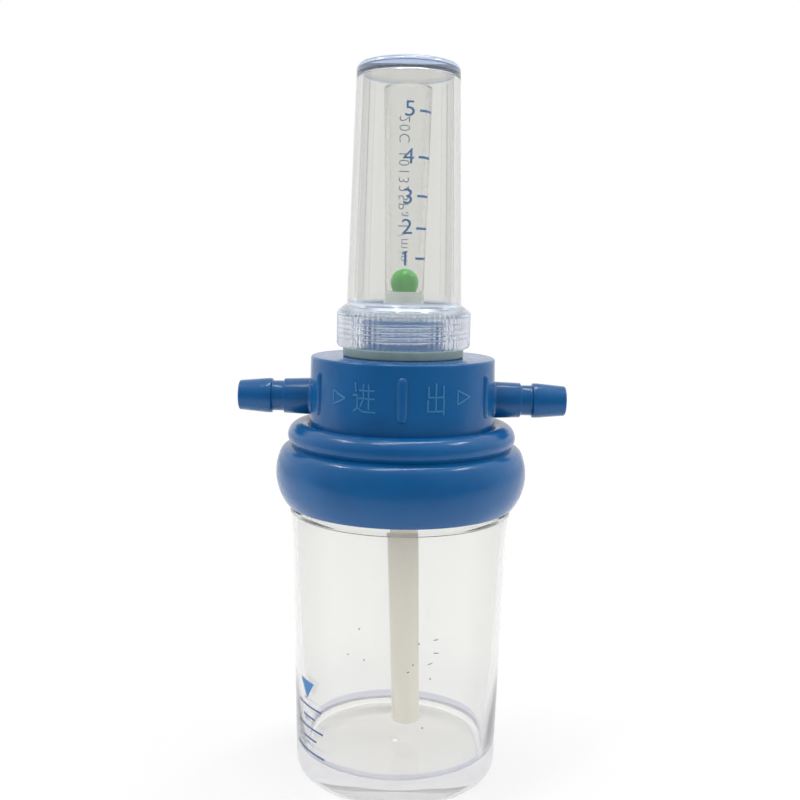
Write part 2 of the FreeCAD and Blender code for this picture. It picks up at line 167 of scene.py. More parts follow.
def dress(piece, material, body, slot, *nodes):
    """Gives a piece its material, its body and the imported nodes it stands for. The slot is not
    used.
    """
    piece.data.materials.clear()
    piece.data.materials.append(material)
    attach(piece, body)
    if nodes:
        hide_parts(*nodes)
    print(piece.name, len(piece.data.polygons), "faces, rides on", body)


# %% [markdown]
# ## Joining and cutting
#
# The head is one moulding with barbs, ribs and bores. Letting closed meshes overlap would
# look right from outside, but its surface would then run on inside itself. The exact boolean
# solver gives one clean skin instead. The modifier is baked at once, so that the mesh itself
# holds the result.

# %% Boolean helpers


def bake_modifiers(piece):
    bpy.context.view_layer.update()
    seen = piece.evaluated_get(bpy.context.evaluated_depsgraph_get())
    baked = bpy.data.meshes.new_from_object(seen)
    piece.modifiers.clear()
    piece.data = baked


def combine(piece, operation, tools):
    """Joins or cuts a piece with closed meshes, which are used up."""
    for tool in tools:
        step = piece.modifiers.new(tool.name, "BOOLEAN")
        step.operation = operation
        step.solver = "EXACT"
        step.object = tool
    bake_modifiers(piece)
    for tool in tools:
        bpy.data.objects.remove(tool)
    return piece


def rod(name, radius, start, end, steps=64):
    """A closed round bar from one point to another, in millimetres."""
    start, end = Vector(start), Vector(end)
    shape = bmesh.new()
    bmesh.ops.create_cone(shape, cap_ends=True, segments=steps, radius1=radius * MM,
                          radius2=radius * MM, depth=(end - start).length * MM)
    turn = (end - start).to_track_quat("Z", "Y").to_matrix().to_4x4()
    place = Matrix.Translation((start + end) / 2 * MM) @ turn
    bmesh.ops.transform(shape, matrix=place, verts=shape.verts)
    return as_object(shape, name)


# %% [markdown]
# ## Small helpers for materials
#
# Every finish here is made of the same few steps: a noise that sits still on the piece, a
# ramp that spreads it over a range, a mix of two colours and a bump. Each step is a short
# function that adds its node and hands on its socket, so that a material reads as a recipe.
# The patterns use Object coordinates, because the pieces sit at the origin and a pattern
# then stays where it is on the plastic.

# %% Nodes that work on values


def new_material(name):
    material = bpy.data.materials.new(name)
    material.use_nodes = True
    nodes = material.node_tree.nodes
    return material, nodes, material.node_tree.links, nodes["Principled BSDF"]


def maths(nodes, links, operation, first, second):
    """A Math node on two sockets or numbers."""
    node = nodes.new("ShaderNodeMath")
    node.operation = operation
    for socket, value in zip(node.inputs, (first, second)):
        if isinstance(value, (int, float)):
            socket.default_value = value
        else:
            links.new(value, socket)
    return node.outputs["Value"]


def ramp(nodes, links, value, low, high, out_low=0.0, out_high=1.0):
    """out_low up to low and out_high from high on, where low may also be the higher one."""
    ranged = nodes.new("ShaderNodeMapRange")
    ranged.inputs["From Min"].default_value = low
    ranged.inputs["From Max"].default_value = high
    ranged.inputs["To Min"].default_value = out_low
    ranged.inputs["To Max"].default_value = out_high
    links.new(value, ranged.inputs["Value"])
    return ranged.outputs["Result"]


def noise(nodes, links, scale, detail, stretch=(1, 1, 1)):
    """A noise on Object coordinates, and the socket of its value."""
    place = nodes.new("ShaderNodeTexCoord")
    mapping = nodes.new("ShaderNodeMapping")
    mapping.inputs["Scale"].default_value = stretch
    texture = nodes.new("ShaderNodeTexNoise")
    texture.inputs["Scale"].default_value = scale
    texture.inputs["Detail"].default_value = detail
    links.new(place.outputs["Object"], mapping.inputs["Vector"])
    links.new(mapping.outputs["Vector"], texture.inputs["Vector"])
    return texture.outputs["Fac"]


def spread(nodes, links, value, low, high):
    """The 0.3 to 0.7 that a noise really gives, spread over another range."""
    return ramp(nodes, links, value, 0.3, 0.7, low, high)


def light_path_any(nodes, links, *kinds):
    """1 for the kinds of ray named, and 0 for the rest."""
    path = nodes.new("ShaderNodeLightPath")
    total = path.outputs[kinds[0]]
    for kind in kinds[1:]:
        total = maths(nodes, links, "MAXIMUM", total, path.outputs[kind])
    return total


# %% Nodes that mix colours and shaders


def mixed_colour(nodes, links, value, first, second):
    """Two colours mixed by a value. The first may be the socket of another mix."""
    mix = nodes.new("ShaderNodeMix")
    mix.data_type = "RGBA"
    if isinstance(first, bpy.types.NodeSocket):
        links.new(first, mix.inputs["A"])
    else:
        mix.inputs["A"].default_value = (*first, 1)
    mix.inputs["B"].default_value = (*second, 1)
    links.new(value, mix.inputs["Factor"])
    return mix.outputs["Result"]


def mixed_shader(nodes, links, factor, first, second):
    blend = nodes.new("ShaderNodeMixShader")
    links.new(factor, blend.inputs["Fac"])
    links.new(first, blend.inputs[1])
    links.new(second, blend.inputs[2])
    return blend.outputs["Shader"]


def bump(nodes, links, shader, height, strength, distance_mm):
    lifted = nodes.new("ShaderNodeBump")
    lifted.inputs["Strength"].default_value = strength
    lifted.inputs["Distance"].default_value = distance_mm * MM
    links.new(height, lifted.inputs["Height"])
    links.new(lifted.outputs["Normal"], shader.inputs["Normal"])


# %% [markdown]
# ## Zones of a clear wall
#
# Light that runs along inside a clear wall comes out tinted or milky, and Cycles ends such
# long paths early, as black. So where the real mouldings show a blue, grey or pale band, the
# material paints it: these zones are painted light, painted shade and painted reflection. A
# zone is bounded by height, by distance from the axis and by how far the skin is turned away
# from the viewer, which Layer Weight tells. Each border is a soft ramp, and the ramps are
# multiplied, so that a zone ends where any of its borders does.

# %% How much a point lies inside a zone


def zone_share(nodes, links, borders):
    """1 inside a zone. A border is ("Z" or "R", outside, inside) in millimetres, or ("F", ...)
    for how far the skin is turned away from the viewer, from 0 to 1."""
    place = nodes.new("ShaderNodeTexCoord")
    apart = nodes.new("ShaderNodeSeparateXYZ")
    links.new(place.outputs["Object"], apart.inputs["Vector"])
    flat = nodes.new("ShaderNodeVectorMath")
    flat.operation = "MULTIPLY"
    flat.inputs[1].default_value = (1, 1, 0)
    links.new(place.outputs["Object"], flat.inputs[0])
    reach = nodes.new("ShaderNodeVectorMath")
    reach.operation = "LENGTH"
    links.new(flat.outputs["Vector"], reach.inputs[0])
    facing = nodes.new("ShaderNodeLayerWeight")
    measures = {"Z": (apart.outputs["Z"], MM), "R": (reach.outputs["Value"], MM),
                "F": (facing.outputs["Facing"], 1)}
    share = 1.0
    for measure, outside, inside in borders:
        value, unit = measures[measure]
        border = ramp(nodes, links, value, outside * unit, inside * unit)
        share = maths(nodes, links, "MULTIPLY", border, share)
    return share


# %% [markdown]
# ## Clear moulded plastic
#
# Polystyrene bends light nearly as glass does, so it gets an index of refraction of 1.5. It
# differs from glass in its skin: a moulded wall is never quite flat, and slow waves from the
# mould's cooling bend what is seen through it. A large soft noise as a bump gives those
# waves, and a fine one varies the roughness. The plastic is not perfectly clear: a few
# percent of the light is scattered, which lifts the darkest lines at its edges to a bluish
# grey. Rays towards lamps pass straight through, so that the pieces inside the clear walls
# are lit as they are in life.

# %% A recipe for clear plastic


def clear_plastic(name, tint, clarity, rim, wave_scale, wave_mm, zones=()):
    """Clear plastic: its tint, its clarity, how much light its rim lets by, and the waves in
    its skin. A zone (borders, tint, clarity) is where it is painted tinted or milky, as painted
    light or shade."""
    material, nodes, links, shader = new_material(name)
    shader.inputs["Base Color"].default_value = (*tint, 1)
    shader.inputs["Transmission Weight"].default_value = clarity
    shader.inputs["IOR"].default_value = 1.5
    at_rim = zone_share(nodes, links, (("F", 0.3, 0.7),))
    colour = mixed_colour(nodes, links, at_rim, tint, [channel * rim for channel in tint])
    clear = clarity
    for borders, zone_tint, zone_clarity in zones:
        share = zone_share(nodes, links, borders)
        colour = mixed_colour(nodes, links, share, colour, zone_tint)
        lost = maths(nodes, links, "MULTIPLY", share, clarity - zone_clarity)
        clear = maths(nodes, links, "SUBTRACT", clear, lost)
    links.new(colour, shader.inputs["Base Color"])
    if zones:
        links.new(clear, shader.inputs["Transmission Weight"])
    fine = noise(nodes, links, 900, 2)
    links.new(spread(nodes, links, fine, 0.0, 0.03), shader.inputs["Roughness"])
    waves = noise(nodes, links, wave_scale, 1, (1, 1, 0.5))
    bump(nodes, links, shader, waves, 1.0, wave_mm)
    passing = nodes.new("ShaderNodeBsdfTransparent")
    passing.inputs["Color"].default_value = (*tint, 1)
    surface = mixed_shader(nodes, links, light_path_any(nodes, links, "Is Shadow Ray"),
                           shader.outputs["BSDF"], passing.outputs["BSDF"])
    links.new(surface, nodes["Material Output"].inputs["Surface"])
    return material


# %% [markdown]
# ## The four clear mouldings
#
# The bottle is pale and clear, and its thick base is a little warm. Bands of painted shade
# and painted reflection darken its floor and tint its lower wall. The cover is greyer, as in
# the photo; the blue of its threaded base is a painted reflection of the head, and it has
# painted lines of shade and a painted highlight on its shoulder. The flow tube is thin and
# stays nearly invisible. The holder's thread carries a painted reflection of the head's blue
# and painted highlights on its crests, and its post is painted milky, as painted light for
# the light that a thick round post spreads.

# %% The bottle's plastic
# The bottle's floor: warm as thick plastic is, and darker by painted shade.
warm_floor_painted_shade = ((("Z", 8.0, 7.8), ("R", 24.8, 24.4)), (0.89, 0.88, 0.855), 0.93)
# The underside: milky, and greyer by painted shade.
milky_underside_painted_shade = ((("Z", 1.1, 0.8), ("R", 26.0, 25.0)), (0.80, 0.79, 0.765), 0.55)
# The lower wall: a pale bluish band, a painted reflection.
lower_wall_painted_reflection = ((("Z", 30.0, 8.0), ("R", 26.0, 27.0)), (0.91, 0.915, 0.94), 0.83)
# A dark bluish ring at the corner of the floor: painted shade.
painted_shade_ring_at_floor = ((("Z", 7.3, 7.5), ("Z", 9.7, 9.2), ("R", 24.2, 24.5), ("R", 26.4, 26.1)),
                 (0.62, 0.63, 0.76), 0.72)
bottle_plastic = clear_plastic("clear_bottle_plastic", (0.935, 0.935, 0.92), 0.97, 0.86, 45, 0.01,
                               [warm_floor_painted_shade, milky_underside_painted_shade, lower_wall_painted_reflection, painted_shade_ring_at_floor])

# %% The cover's plastic
cover_clarity = 0.985
tube_side = (("Z", 130.0, 131.0), ("Z", 186.8, 185.8))
# The base: a bluish tint, a painted reflection of the blue head.
base_painted_blue_reflection = ((("Z", 129.6, 128.4),), (0.89, 0.92, 0.965), 0.96)
# A dark line at the corner of the shoulder: painted shade.
painted_shade_corner = ((("Z", 128.1, 128.3), ("Z", 129.1, 128.9), ("R", 14.4, 14.8)),
               (0.44, 0.46, 0.54), 0.72)
# A white arc on the shoulder: a painted highlight.
painted_highlight_arc = ((("Z", 127.0, 127.2), ("Z", 127.9, 127.7), ("F", 0.47, 0.39)),
                        (1.0, 1.0, 1.0), 0.25)
# The knurl's flanks: paler and milky where they turn away, a painted sheen.
knurled_flank_painted_sheen = ((("Z", 126.2, 125.4), ("F", 0.20, 0.38)), (0.87, 0.89, 0.95), 0.84)
# The solid ring over the thread: milky blue-grey, a painted reflection of the blue head.
solid_ring_painted_blue_reflection = ((("Z", 125.2, 125.8), ("Z", 129.4, 128.8)), (0.78, 0.84, 0.92), 0.84)
# A bluish ring at the edge of the top: painted light, for the light that runs round inside the
# wall.
top_rim_painted_bluish_light = ((("Z", 187.2, 187.6), ("R", 11.8, 12.2)), (0.58, 0.68, 0.88), 0.75)
# A dark upright line a little inside each edge of the tube: painted shade, where the bore reflects.
painted_dark_upright_line = ((*tube_side, ("F", 0.475, 0.485), ("F", 0.52, 0.51)),
                     (0.42, 0.42, 0.45), cover_clarity)
# A fainter grey line further in: painted shade.
painted_faint_upright_line = ((*tube_side, ("F", 0.32, 0.33), ("F", 0.355, 0.345)),
                      (0.70, 0.70, 0.71), cover_clarity)
cover_plastic = clear_plastic("clear_cover_plastic", (0.86, 0.86, 0.84), cover_clarity, 0.66, 60,
                              0.003, [base_painted_blue_reflection, painted_shade_corner, painted_highlight_arc,
                                      knurled_flank_painted_sheen, solid_ring_painted_blue_reflection, top_rim_painted_bluish_light,
                                      painted_dark_upright_line, painted_faint_upright_line])

# %% The plastics of the flow tube and its holder
# The post: milky, painted light that lifts the dark of a solid clear post.
post_painted_milky_light = ((("Z", 119.0, 120.0), ("R", 6.2, 5.8)), (0.86, 0.92, 0.87), 0.30)
# The thread: deep blue, a painted reflection of the blue head.
thread_painted_blue_reflection = ((("R", 14.05, 14.15), ("Z", 124.8, 124.3), ("F", 0.70, 0.50)),
               (0.01, 0.16, 0.40), 0.28)
# The thread's crests that face the viewer: pale, a painted highlight.
crests_painted_highlight = ((("R", 14.72, 14.85), ("F", 0.45, 0.25)), (0.92, 0.95, 1.0), 0.50)
tube_plastic = clear_plastic("clear_tube_plastic", (0.965, 0.965, 0.96), 0.99, 0.9, 60, 0.003)
holder_plastic = clear_plastic("clear_holder_plastic", (0.93, 0.95, 0.97), 0.97, 1.0, 200, 0.003,
                               [post_painted_milky_light, thread_painted_blue_reflection, crests_painted_highlight])
print("clear plastics", len(bpy.data.materials))

# %% [markdown]
# ## Blue moulded plastic
#
# The head is polyethylene-like: saturated blue, glossy, and a little translucent, so that
# light creeps under the skin and the shaded side never goes black. Some subsurface
# scattering with a short radius does that. Slow noise varies the blue by a few percent, as
# pigment does, and a faint bump gives the skin the softness of a moulded face. The raised
# signs get a second, paler copy of the blue: a painted highlight for edges that catch light.

# %% The blue of the head


def blue_plastic(name, colour_a, colour_b):
    material, nodes, links, shader = new_material(name)
    pigment = spread(nodes, links, noise(nodes, links, 70, 3), 0, 1)
    colour = mixed_colour(nodes, links, pigment, colour_a, colour_b)
    links.new(colour, shader.inputs["Base Color"])
    shader.inputs["Subsurface Weight"].default_value = 0.35
    shader.inputs["Subsurface Radius"].default_value = (0.1, 0.7, 1.0)
    shader.inputs["Subsurface Scale"].default_value = 2.0 * MM
    shader.inputs["IOR"].default_value = 1.45
    fine = noise(nodes, links, 500, 3)
    links.new(spread(nodes, links, fine, 0.16, 0.24), shader.inputs["Roughness"])
    bump(nodes, links, shader, noise(nodes, links, 160, 2), 1.0, 0.05)
    return material


head_blue = blue_plastic("blue_head_plastic", (0.0030, 0.081, 0.240), (0.0040, 0.101, 0.285))
# A paler copy of the same blue: the painted highlight of the raised signs.
painted_highlight_blue = blue_plastic("painted_highlight_blue_plastic", (0.020, 0.150, 0.350), (0.030, 0.180, 0.400))
print("blue plastics", head_blue.name, "and", painted_highlight_blue.name)

# %% [markdown]
# ## Solid plastics, rubber and ink
#
# These are opaque, so one helper serves them all: two close colours mixed by a noise, a
# roughness that varies, and a little bump. What sets them apart is the numbers. The ivory
# dip tube is extruded, so its noise is stretched along its length.

# %% Opaque materials


def opaque(name, colour_a, colour_b, scale, roughness, bump_mm, stretch=(1, 1, 1), soft=0.0):
    material, nodes, links, shader = new_material(name)
    value = spread(nodes, links, noise(nodes, links, scale, 3, stretch), 0, 1)
    links.new(mixed_colour(nodes, links, value, colour_a, colour_b), shader.inputs["Base Color"])
    shader.inputs["IOR"].default_value = 1.5
    fine = noise(nodes, links, scale * 4, 2, stretch)
    links.new(spread(nodes, links, fine, roughness - 0.04, roughness + 0.04),
              shader.inputs["Roughness"])
    bump(nodes, links, shader, fine, 1.0, bump_mm)
    if soft:
        shader.inputs["Subsurface Weight"].default_value = soft
        shader.inputs["Subsurface Radius"].default_value = (1.0, 0.9, 0.7)
        shader.inputs["Subsurface Scale"].default_value = 1.5 * MM
    return material


ivory = opaque("ivory_dip_plastic", (0.92, 0.87, 0.75), (0.96, 0.91, 0.80), 60, 0.45, 0.01,
               (1, 1, 0.1), 0.2)
grey_rubber = opaque("grey_gasket_rubber", (0.22, 0.30, 0.29), (0.27, 0.35, 0.34), 300, 0.5, 0.02)
pale_rubber = opaque("pale_seal_rubber", (0.60, 0.59, 0.55), (0.66, 0.65, 0.61), 300, 0.5, 0.02)
green_plastic = opaque("green_ball_plastic", (0.035, 0.46, 0.035), (0.06, 0.54, 0.06), 250, 0.15,
                       0.005, (1, 1, 1), 0.2)
blue_ink = opaque("blue_print_ink", (0.015, 0.15, 0.40), (0.03, 0.20, 0.48), 900, 0.4, 0.003)
faint_ink = opaque("faint_print_ink", (0.06, 0.17, 0.42), (0.10, 0.21, 0.47), 900, 0.4, 0.003)
grey_ink = opaque("grey_print_ink", (0.035, 0.09, 0.24), (0.06, 0.12, 0.29), 900, 0.4, 0.003)
dark_dirt = opaque("dark_speck", (0.03, 0.04, 0.03), (0.08, 0.10, 0.08), 900, 0.7, 0.01)
teal_dirt = opaque("teal_speck", (0.06, 0.22, 0.28), (0.12, 0.32, 0.36), 900, 0.7, 0.01)
print("materials", len(bpy.data.materials))

# %% [markdown]
# ## The bottle
#
# A drafted cup with a thick base: clear moulders leave the base thick so that the bottle
# stands steady. Its outline runs from the axis under the foot, up the outside, over the rim,
# and down the inside to the axis again, so that the spin closes it at both poles. The foot is
# hollowed in a long shallow slope, which bends little light. A gate mark, where the plastic
# entered the mould, sits in the middle of it.

# %% The bottle's outline
foot_round = 2.9
foot_flat_r = 24.8
foot_side_r = 27.7
step_z = 72.9
step_r = 29.5
step_h = 1.1
cone_h = 1.6
neck_r = 28.0
neck_wall = 2.3
base_t = 7.6
floor_corner_r = 0.7
inner_shoulder_z = 72.6
inner_foot_r = 25.52
recess_r = 22.6
recess_h = 0.6
recess_slope_round = 60.0
recess_edge_round = 30.0
gate_r = 1.6
gate_h = 0.5
rim_z = bottle_high.z
ring_r = bottle_high.x

bottle_outline = rounded([
    (0, recess_h + gate_h, 0),
    (gate_r * 0.5, recess_h + gate_h, 0.2),
    (gate_r, recess_h, 0.2),
    (recess_r / 2, recess_h, recess_slope_round),
    (recess_r + recess_h, 0, recess_edge_round),
    (foot_flat_r, 0, 0),
] + arc(foot_side_r - foot_round, foot_round, foot_round, -75, 0, 8) + [
    (step_r, step_z, 0.25),
    (ring_r, step_z, 0.15),
    (ring_r, step_z + step_h, 0.2),
    (neck_r, step_z + step_h + cone_h, 0.4),
    (neck_r, rim_z, 0.3),
    (neck_r - neck_wall, rim_z, 0.3),
    (neck_r - neck_wall, step_z + step_h + cone_h, 0.8),
    (step_r - neck_wall, inner_shoulder_z, 0.8),
    (inner_foot_r, base_t, floor_corner_r),
    (0, base_t, 0),
])
bottle = as_object(turned(bottle_outline, 192), "clear_bottle")
print("bottle's outline has", len(bottle_outline), "points")

# %% [markdown]
# ## Threads
#
# A thread is a ridge that climbs as it goes round. Its section, a trapezium, is drawn once
# as a face, and the spin operator lifts it a little at every step. What comes out is a closed
# bar, whose ends are the section itself, and the boolean solver joins it to its wall. The
# same helper makes the coarse thread of the bottle and the two fine ones under the cover.

# %% A helical ridge, and the one on the bottle's neck


def thread_ridge(name, root_r, height, root_w, crest_w, low_z, pitch, turns, steps_a_turn=96):
    """A helical ridge: its section is spun while it climbs, and both ends are closed."""
    shape = bmesh.new()
    section = [(root_r, -root_w / 2), (root_r + height, -crest_w / 2),
               (root_r + height, crest_w / 2), (root_r, root_w / 2)]
    verts = [shape.verts.new((r * MM, 0, (low_z + z) * MM)) for r, z in section]
    face = shape.faces.new(verts)
    steps = round(steps_a_turn * turns)
    bmesh.ops.spin(shape, geom=[face], cent=(0, 0, 0), axis=(0, 0, 1),
                   dvec=(0, 0, pitch * MM / steps_a_turn), angle=2 * math.pi * turns, steps=steps)
    bmesh.ops.recalc_face_normals(shape, faces=shape.faces)
    return as_object(shape, name)


bottle_thread = thread_ridge("bottle_thread", root_r=neck_r - 0.3, height=1.25, root_w=2.2,
                             crest_w=0.9, low_z=79.4, pitch=4.0, turns=1.75)
combine(bottle, "UNION", [bottle_thread])
smooth(bottle)
dress(bottle, bottle_plastic, "bottle", "bottle_clear", "bottle")

# %% [markdown]
# ## The head's skin
#
# Skirt, bead and body are one smooth outline: a wide arc for the bulge that a hand grips, a
# tight arc at its shoulder, a round bead above it and a plain drum on top. The arcs are
# drawn as arcs, so that the long highlights of a studio light run along them unbroken. The
# cavity inside is part of the same outline.

# %% The head's turned body
lip_z = head_low.z
lip_r = 30.5
skirt_bore_r = 29.3
bulge_r = head_high.y
bulge_mid_z = 83.4
bulge_arc_r = 13.69
shoulder_round = 3.0
shoulder_mid_r = 29.8
shoulder_mid_z = 87.7
bead_r = 3.5
bead_mid_r = 27.1
bead_mid_z = 93.3
body_r = 24.6
body_top_z = head_high.z
cavity_r = 22.2
roof_t = 2.6
boss_r = 7.2
boss_floor_z = 94.8
barb_z = 103.2
riser_r = 2.2
plug_r = 3.95
plug_floor_z = 107.6
seal_top_z = seal_high.z
cavity_top_z = body_top_z - roof_t

head_outline = rounded([
    (0, barb_z, 0),
    (riser_r, barb_z, 0),
    (riser_r, plug_floor_z, 0),
    (plug_r, plug_floor_z, 0),
    (plug_r, body_top_z, 0.2),
    (body_r, body_top_z, 0.6),
] + arc(bead_mid_r, bead_mid_z, bead_r, 128, -42, 24)
    + arc(shoulder_mid_r, shoulder_mid_z, shoulder_round, 66, 24, 8)
    + arc(bulge_r - bulge_arc_r, bulge_mid_z, bulge_arc_r, 20, -33, 24) + [
    (lip_r + 0.3, lip_z, 0.35),
    (skirt_bore_r, lip_z, 0.3),
    (skirt_bore_r, seal_top_z, 0.2),
    (cavity_r, seal_top_z, 0.2),
    (cavity_r, cavity_top_z, 1.0),
    (boss_r, cavity_top_z, 0.5),
    (boss_r, boss_floor_z, 0.3),
    (0, boss_floor_z, 0),
])
head = as_object(turned(head_outline, 192), "blue_head")
print("head's outline has", len(head_outline), "points")

# %% [markdown]
# ## Barbs and ribs
#
# A hose barb is a small turned part of its own: a collar, a groove for a clamp and a cone
# that the hose is pushed over. It is turned upright and then laid along the X axis, once to
# each side. The grip ribs are round bars, half sunk in the wall. All of them are joined to
# the head before any bore is cut, so that each bore runs through clean plastic.

# %% Barbs
barb_reach = head_high.x
barb_land_x = 35.0
barb_land_l = 1.2
barb_neck_x = 31.7
barb_max_r = 4.65
barb_neck_r = 4.05
barb_tip_r = 3.95
barb_root_r = 4.9
barb_root_x = 24.9
barb_sunk_x = 23.0
barb_sunk_r = 6.0
barb_bore_r = 2.4
mouth_round = 0.6


def lay_along_x(shape, side):
    """Lays an upright turned shape along +X or -X at the height of the barbs."""
    turn = Matrix.Rotation(math.radians(90 * side), 4, "Y")
    place = Matrix.Translation((0, 0, barb_z * MM)) @ turn
    bmesh.ops.transform(shape, matrix=place, verts=shape.verts)
    return shape


def barb(side):
    outline = rounded([
        (0, barb_sunk_x, 0),
        (barb_sunk_r, barb_sunk_x, 0),
        (barb_sunk_r - 0.1, barb_sunk_x + 1.0, 0),
        (barb_root_r, barb_root_x, 0.7),
        (barb_max_r, barb_neck_x, 0.25),
        (barb_neck_r, barb_neck_x + 0.15, 0.25),
        (barb_neck_r, barb_land_x - 0.15, 0.25),
        (barb_max_r, barb_land_x, 0.3),
        (barb_max_r, barb_land_x + barb_land_l, 1.0),
        (barb_tip_r, barb_reach, 0.5),
        (0, barb_reach, 0),
    ])
    return as_object(lay_along_x(turned(outline, 72), side), "barb")


def barb_way(side, end_x):
    """The bore of a barb, with an eased mouth."""
    outline = rounded([
        (0, end_x, 0),
        (barb_bore_r, end_x, 0),
        (barb_bore_r, barb_reach - mouth_round, mouth_round),
        (barb_bore_r + mouth_round, barb_reach + 0.1, 0),
        (0, barb_reach + 0.1, 0),
    ])
    return as_object(lay_along_x(turned(outline, 48), side), "barb_way")


combine(head, "UNION", [barb(1), barb(-1)])
print("barbs reach", round(barb_reach, 2), "mm to each side")

# %% Ribs
rib_r = 1.55
rib_mid_r = 23.8
rib_low_z = 99.5
rib_high_z = 111.6
rib_count = 6


def rib(index):
    outline = (arc(0, rib_low_z + rib_r, rib_r, -90, 0, 8)
               + arc(0, rib_high_z - rib_r, rib_r, 0, 90, 8))
    shape = turned(rounded(outline), 24)
    angle = math.radians(-90 + index * 360 / rib_count)
    place = Matrix.Rotation(angle, 4, "Z") @ Matrix.Translation((rib_mid_r * MM, 0, 0))
    bmesh.ops.transform(shape, matrix=place, verts=shape.verts)
    return as_object(shape, "rib")


combine(head, "UNION", [rib(index) for index in range(rib_count)])
print("ribs", rib_count)

# %% [markdown]
# ## The ways of the gas
#
# Oxygen comes in at the left barb, goes up the riser into the flow tube, returns beside it
# and runs down the dip tube into the water. The moist gas leaves the space above the water
# through the right barb. The bores are cut from the head as straight rods, and the bosses
# round them are added first. The socket leans, because the dip tube hangs askew in the photo.

# %% Bosses and bores of the head
cross_z = 98.2
cross_r = 1.6
return_x = 8.42
return_r = 1.7
socket_r = 4.35
socket_floor_z = 84.0
dip_top_z = 96.6
dip_lean = math.radians(1.9)


def lean(shape):
    """Tips a mesh with the dip tube, about the stop in its socket."""
    stop = Vector((0, 0, dip_top_z * MM))
    back = Matrix.Translation(-stop)
    place = Matrix.Translation(stop) @ Matrix.Rotation(-dip_lean, 4, "Y") @ back
    bmesh.ops.transform(shape, matrix=place, verts=shape.verts)
    return shape


def leaning_rod(name, radius, low_z, high_z):
    shape = turned([Vector(p) for p in ((0, 0, low_z), (radius, 0, low_z),
                                        (radius, 0, high_z), (0, 0, high_z))], 64)
    return as_object(lean(shape), name)


combine(head, "UNION", [
    rod("duct", barb_root_r, (-cavity_r - 0.5, 0, barb_z), (0, 0, barb_z)),
    rod("return_boss", return_r + 1.6, (return_x, 0, boss_floor_z + 0.01),
        (return_x, 0, cavity_top_z + 0.5)),
    leaning_rod("sleeve", socket_r + 1.8, socket_floor_z, dip_top_z),
])
combine(head, "DIFFERENCE", [
    barb_way(-1, 0.0),
    barb_way(1, cavity_r - 1.0),
    rod("riser", riser_r - 0.01, (0, 0, barb_z - 0.5), (0, 0, plug_floor_z - 0.5)),
    rod("return_way", return_r, (return_x, 0, cross_z), (return_x, 0, body_top_z + 1)),
    rod("cross_way", cross_r, (0, 0, cross_z), (return_x, 0, cross_z)),
    rod("passage", 3.0, (0, 0, dip_top_z - 0.5), (0, 0, cross_z + cross_r)),
    leaning_rod("socket", socket_r, socket_floor_z - 1, dip_top_z),
])
smooth(head, 28)
dress(head, head_blue, "head", "head_blue", "head")

# %% [markdown]
# ## Round pieces between the mouldings
#
# The gasket, the dip tube, the tube holder and the tapered flow tube are plain turned parts,
# each with a closed outline round its own wall. The holder is a cup with a post in the
# middle: the flow tube's foot stands in a groove in the post, and the ball's seat is a cone
# inside it. Outside, the cup carries a fine thread for the cover.

# %% Gasket, dip tube and flow tube
gasket_bore_r = 14.5
dip_r = 4.3
dip_end_r = 3.85
dip_wall = 1.2
dip_end_z = 12.0
tube_low_bore_r = 3.95
tube_high_bore_r = 5.1
tube_wall = 1.15
tube_foot_wall = 0.65
seat_top_z = holder_high.z

gasket = as_object(turned(rounded([
    (gasket_bore_r, gasket_low.z, 0.2),
    (gasket_high.x, gasket_low.z, 0.5),
    (gasket_high.x, gasket_high.z, 0.5),
    (gasket_bore_r, gasket_high.z, 0.2),
], closed=True), closed=True), "grey_gasket")
smooth(gasket)
dress(gasket, grey_rubber, "cover_gasket", "gasket_rubber", "cover_gasket")

dip_tube = as_object(lean(turned(rounded([
    (dip_end_r, dip_end_z, 0.3),
    (dip_r, socket_floor_z, 0),
    (dip_r, dip_top_z, 0.2),
    (dip_r - dip_wall, dip_top_z, 0.2),
    (dip_end_r - dip_wall, dip_end_z, 0.3),
], closed=True), 96, closed=True)), "ivory_dip_tube")
smooth(dip_tube)
dress(dip_tube, ivory, "head", "dip_ivory", "dip_tube")

flow_tube = as_object(turned(rounded([
    (tube_low_bore_r, tube_low.z, 0),
    (tube_low_bore_r + tube_foot_wall, tube_low.z, 0),
    (tube_low_bore_r + tube_foot_wall, seat_top_z, 0),
    (tube_low_bore_r + tube_wall, seat_top_z, 0.2),
    (tube_high_bore_r + tube_wall, tube_high.z, 0.35),
    (tube_high_bore_r, tube_high.z, 0.35),
    (tube_low_bore_r, seat_top_z, 0),
], closed=True), 128, closed=True), "clear_flow_tube")
smooth(flow_tube)
dress(flow_tube, tube_plastic, "head", "tube_clear", "flow_tube")

# %% Tube holder with its fine thread
fine_pitch = 1.25
fine_turns = 4.6
fine_crest_w = 0.19
cup_r = 14.2
cup_bore_r = 11.6
cup_floor_z = 118.0
cup_top_z = 124.6
post_r = 5.25
groove_r = 4.65
nozzle_r = 3.9
seat_bore_r = 1.5
mouth_r = 2.85
plug_side_r = 3.9
cone_low_z = seat_top_z - (mouth_r - seat_bore_r)

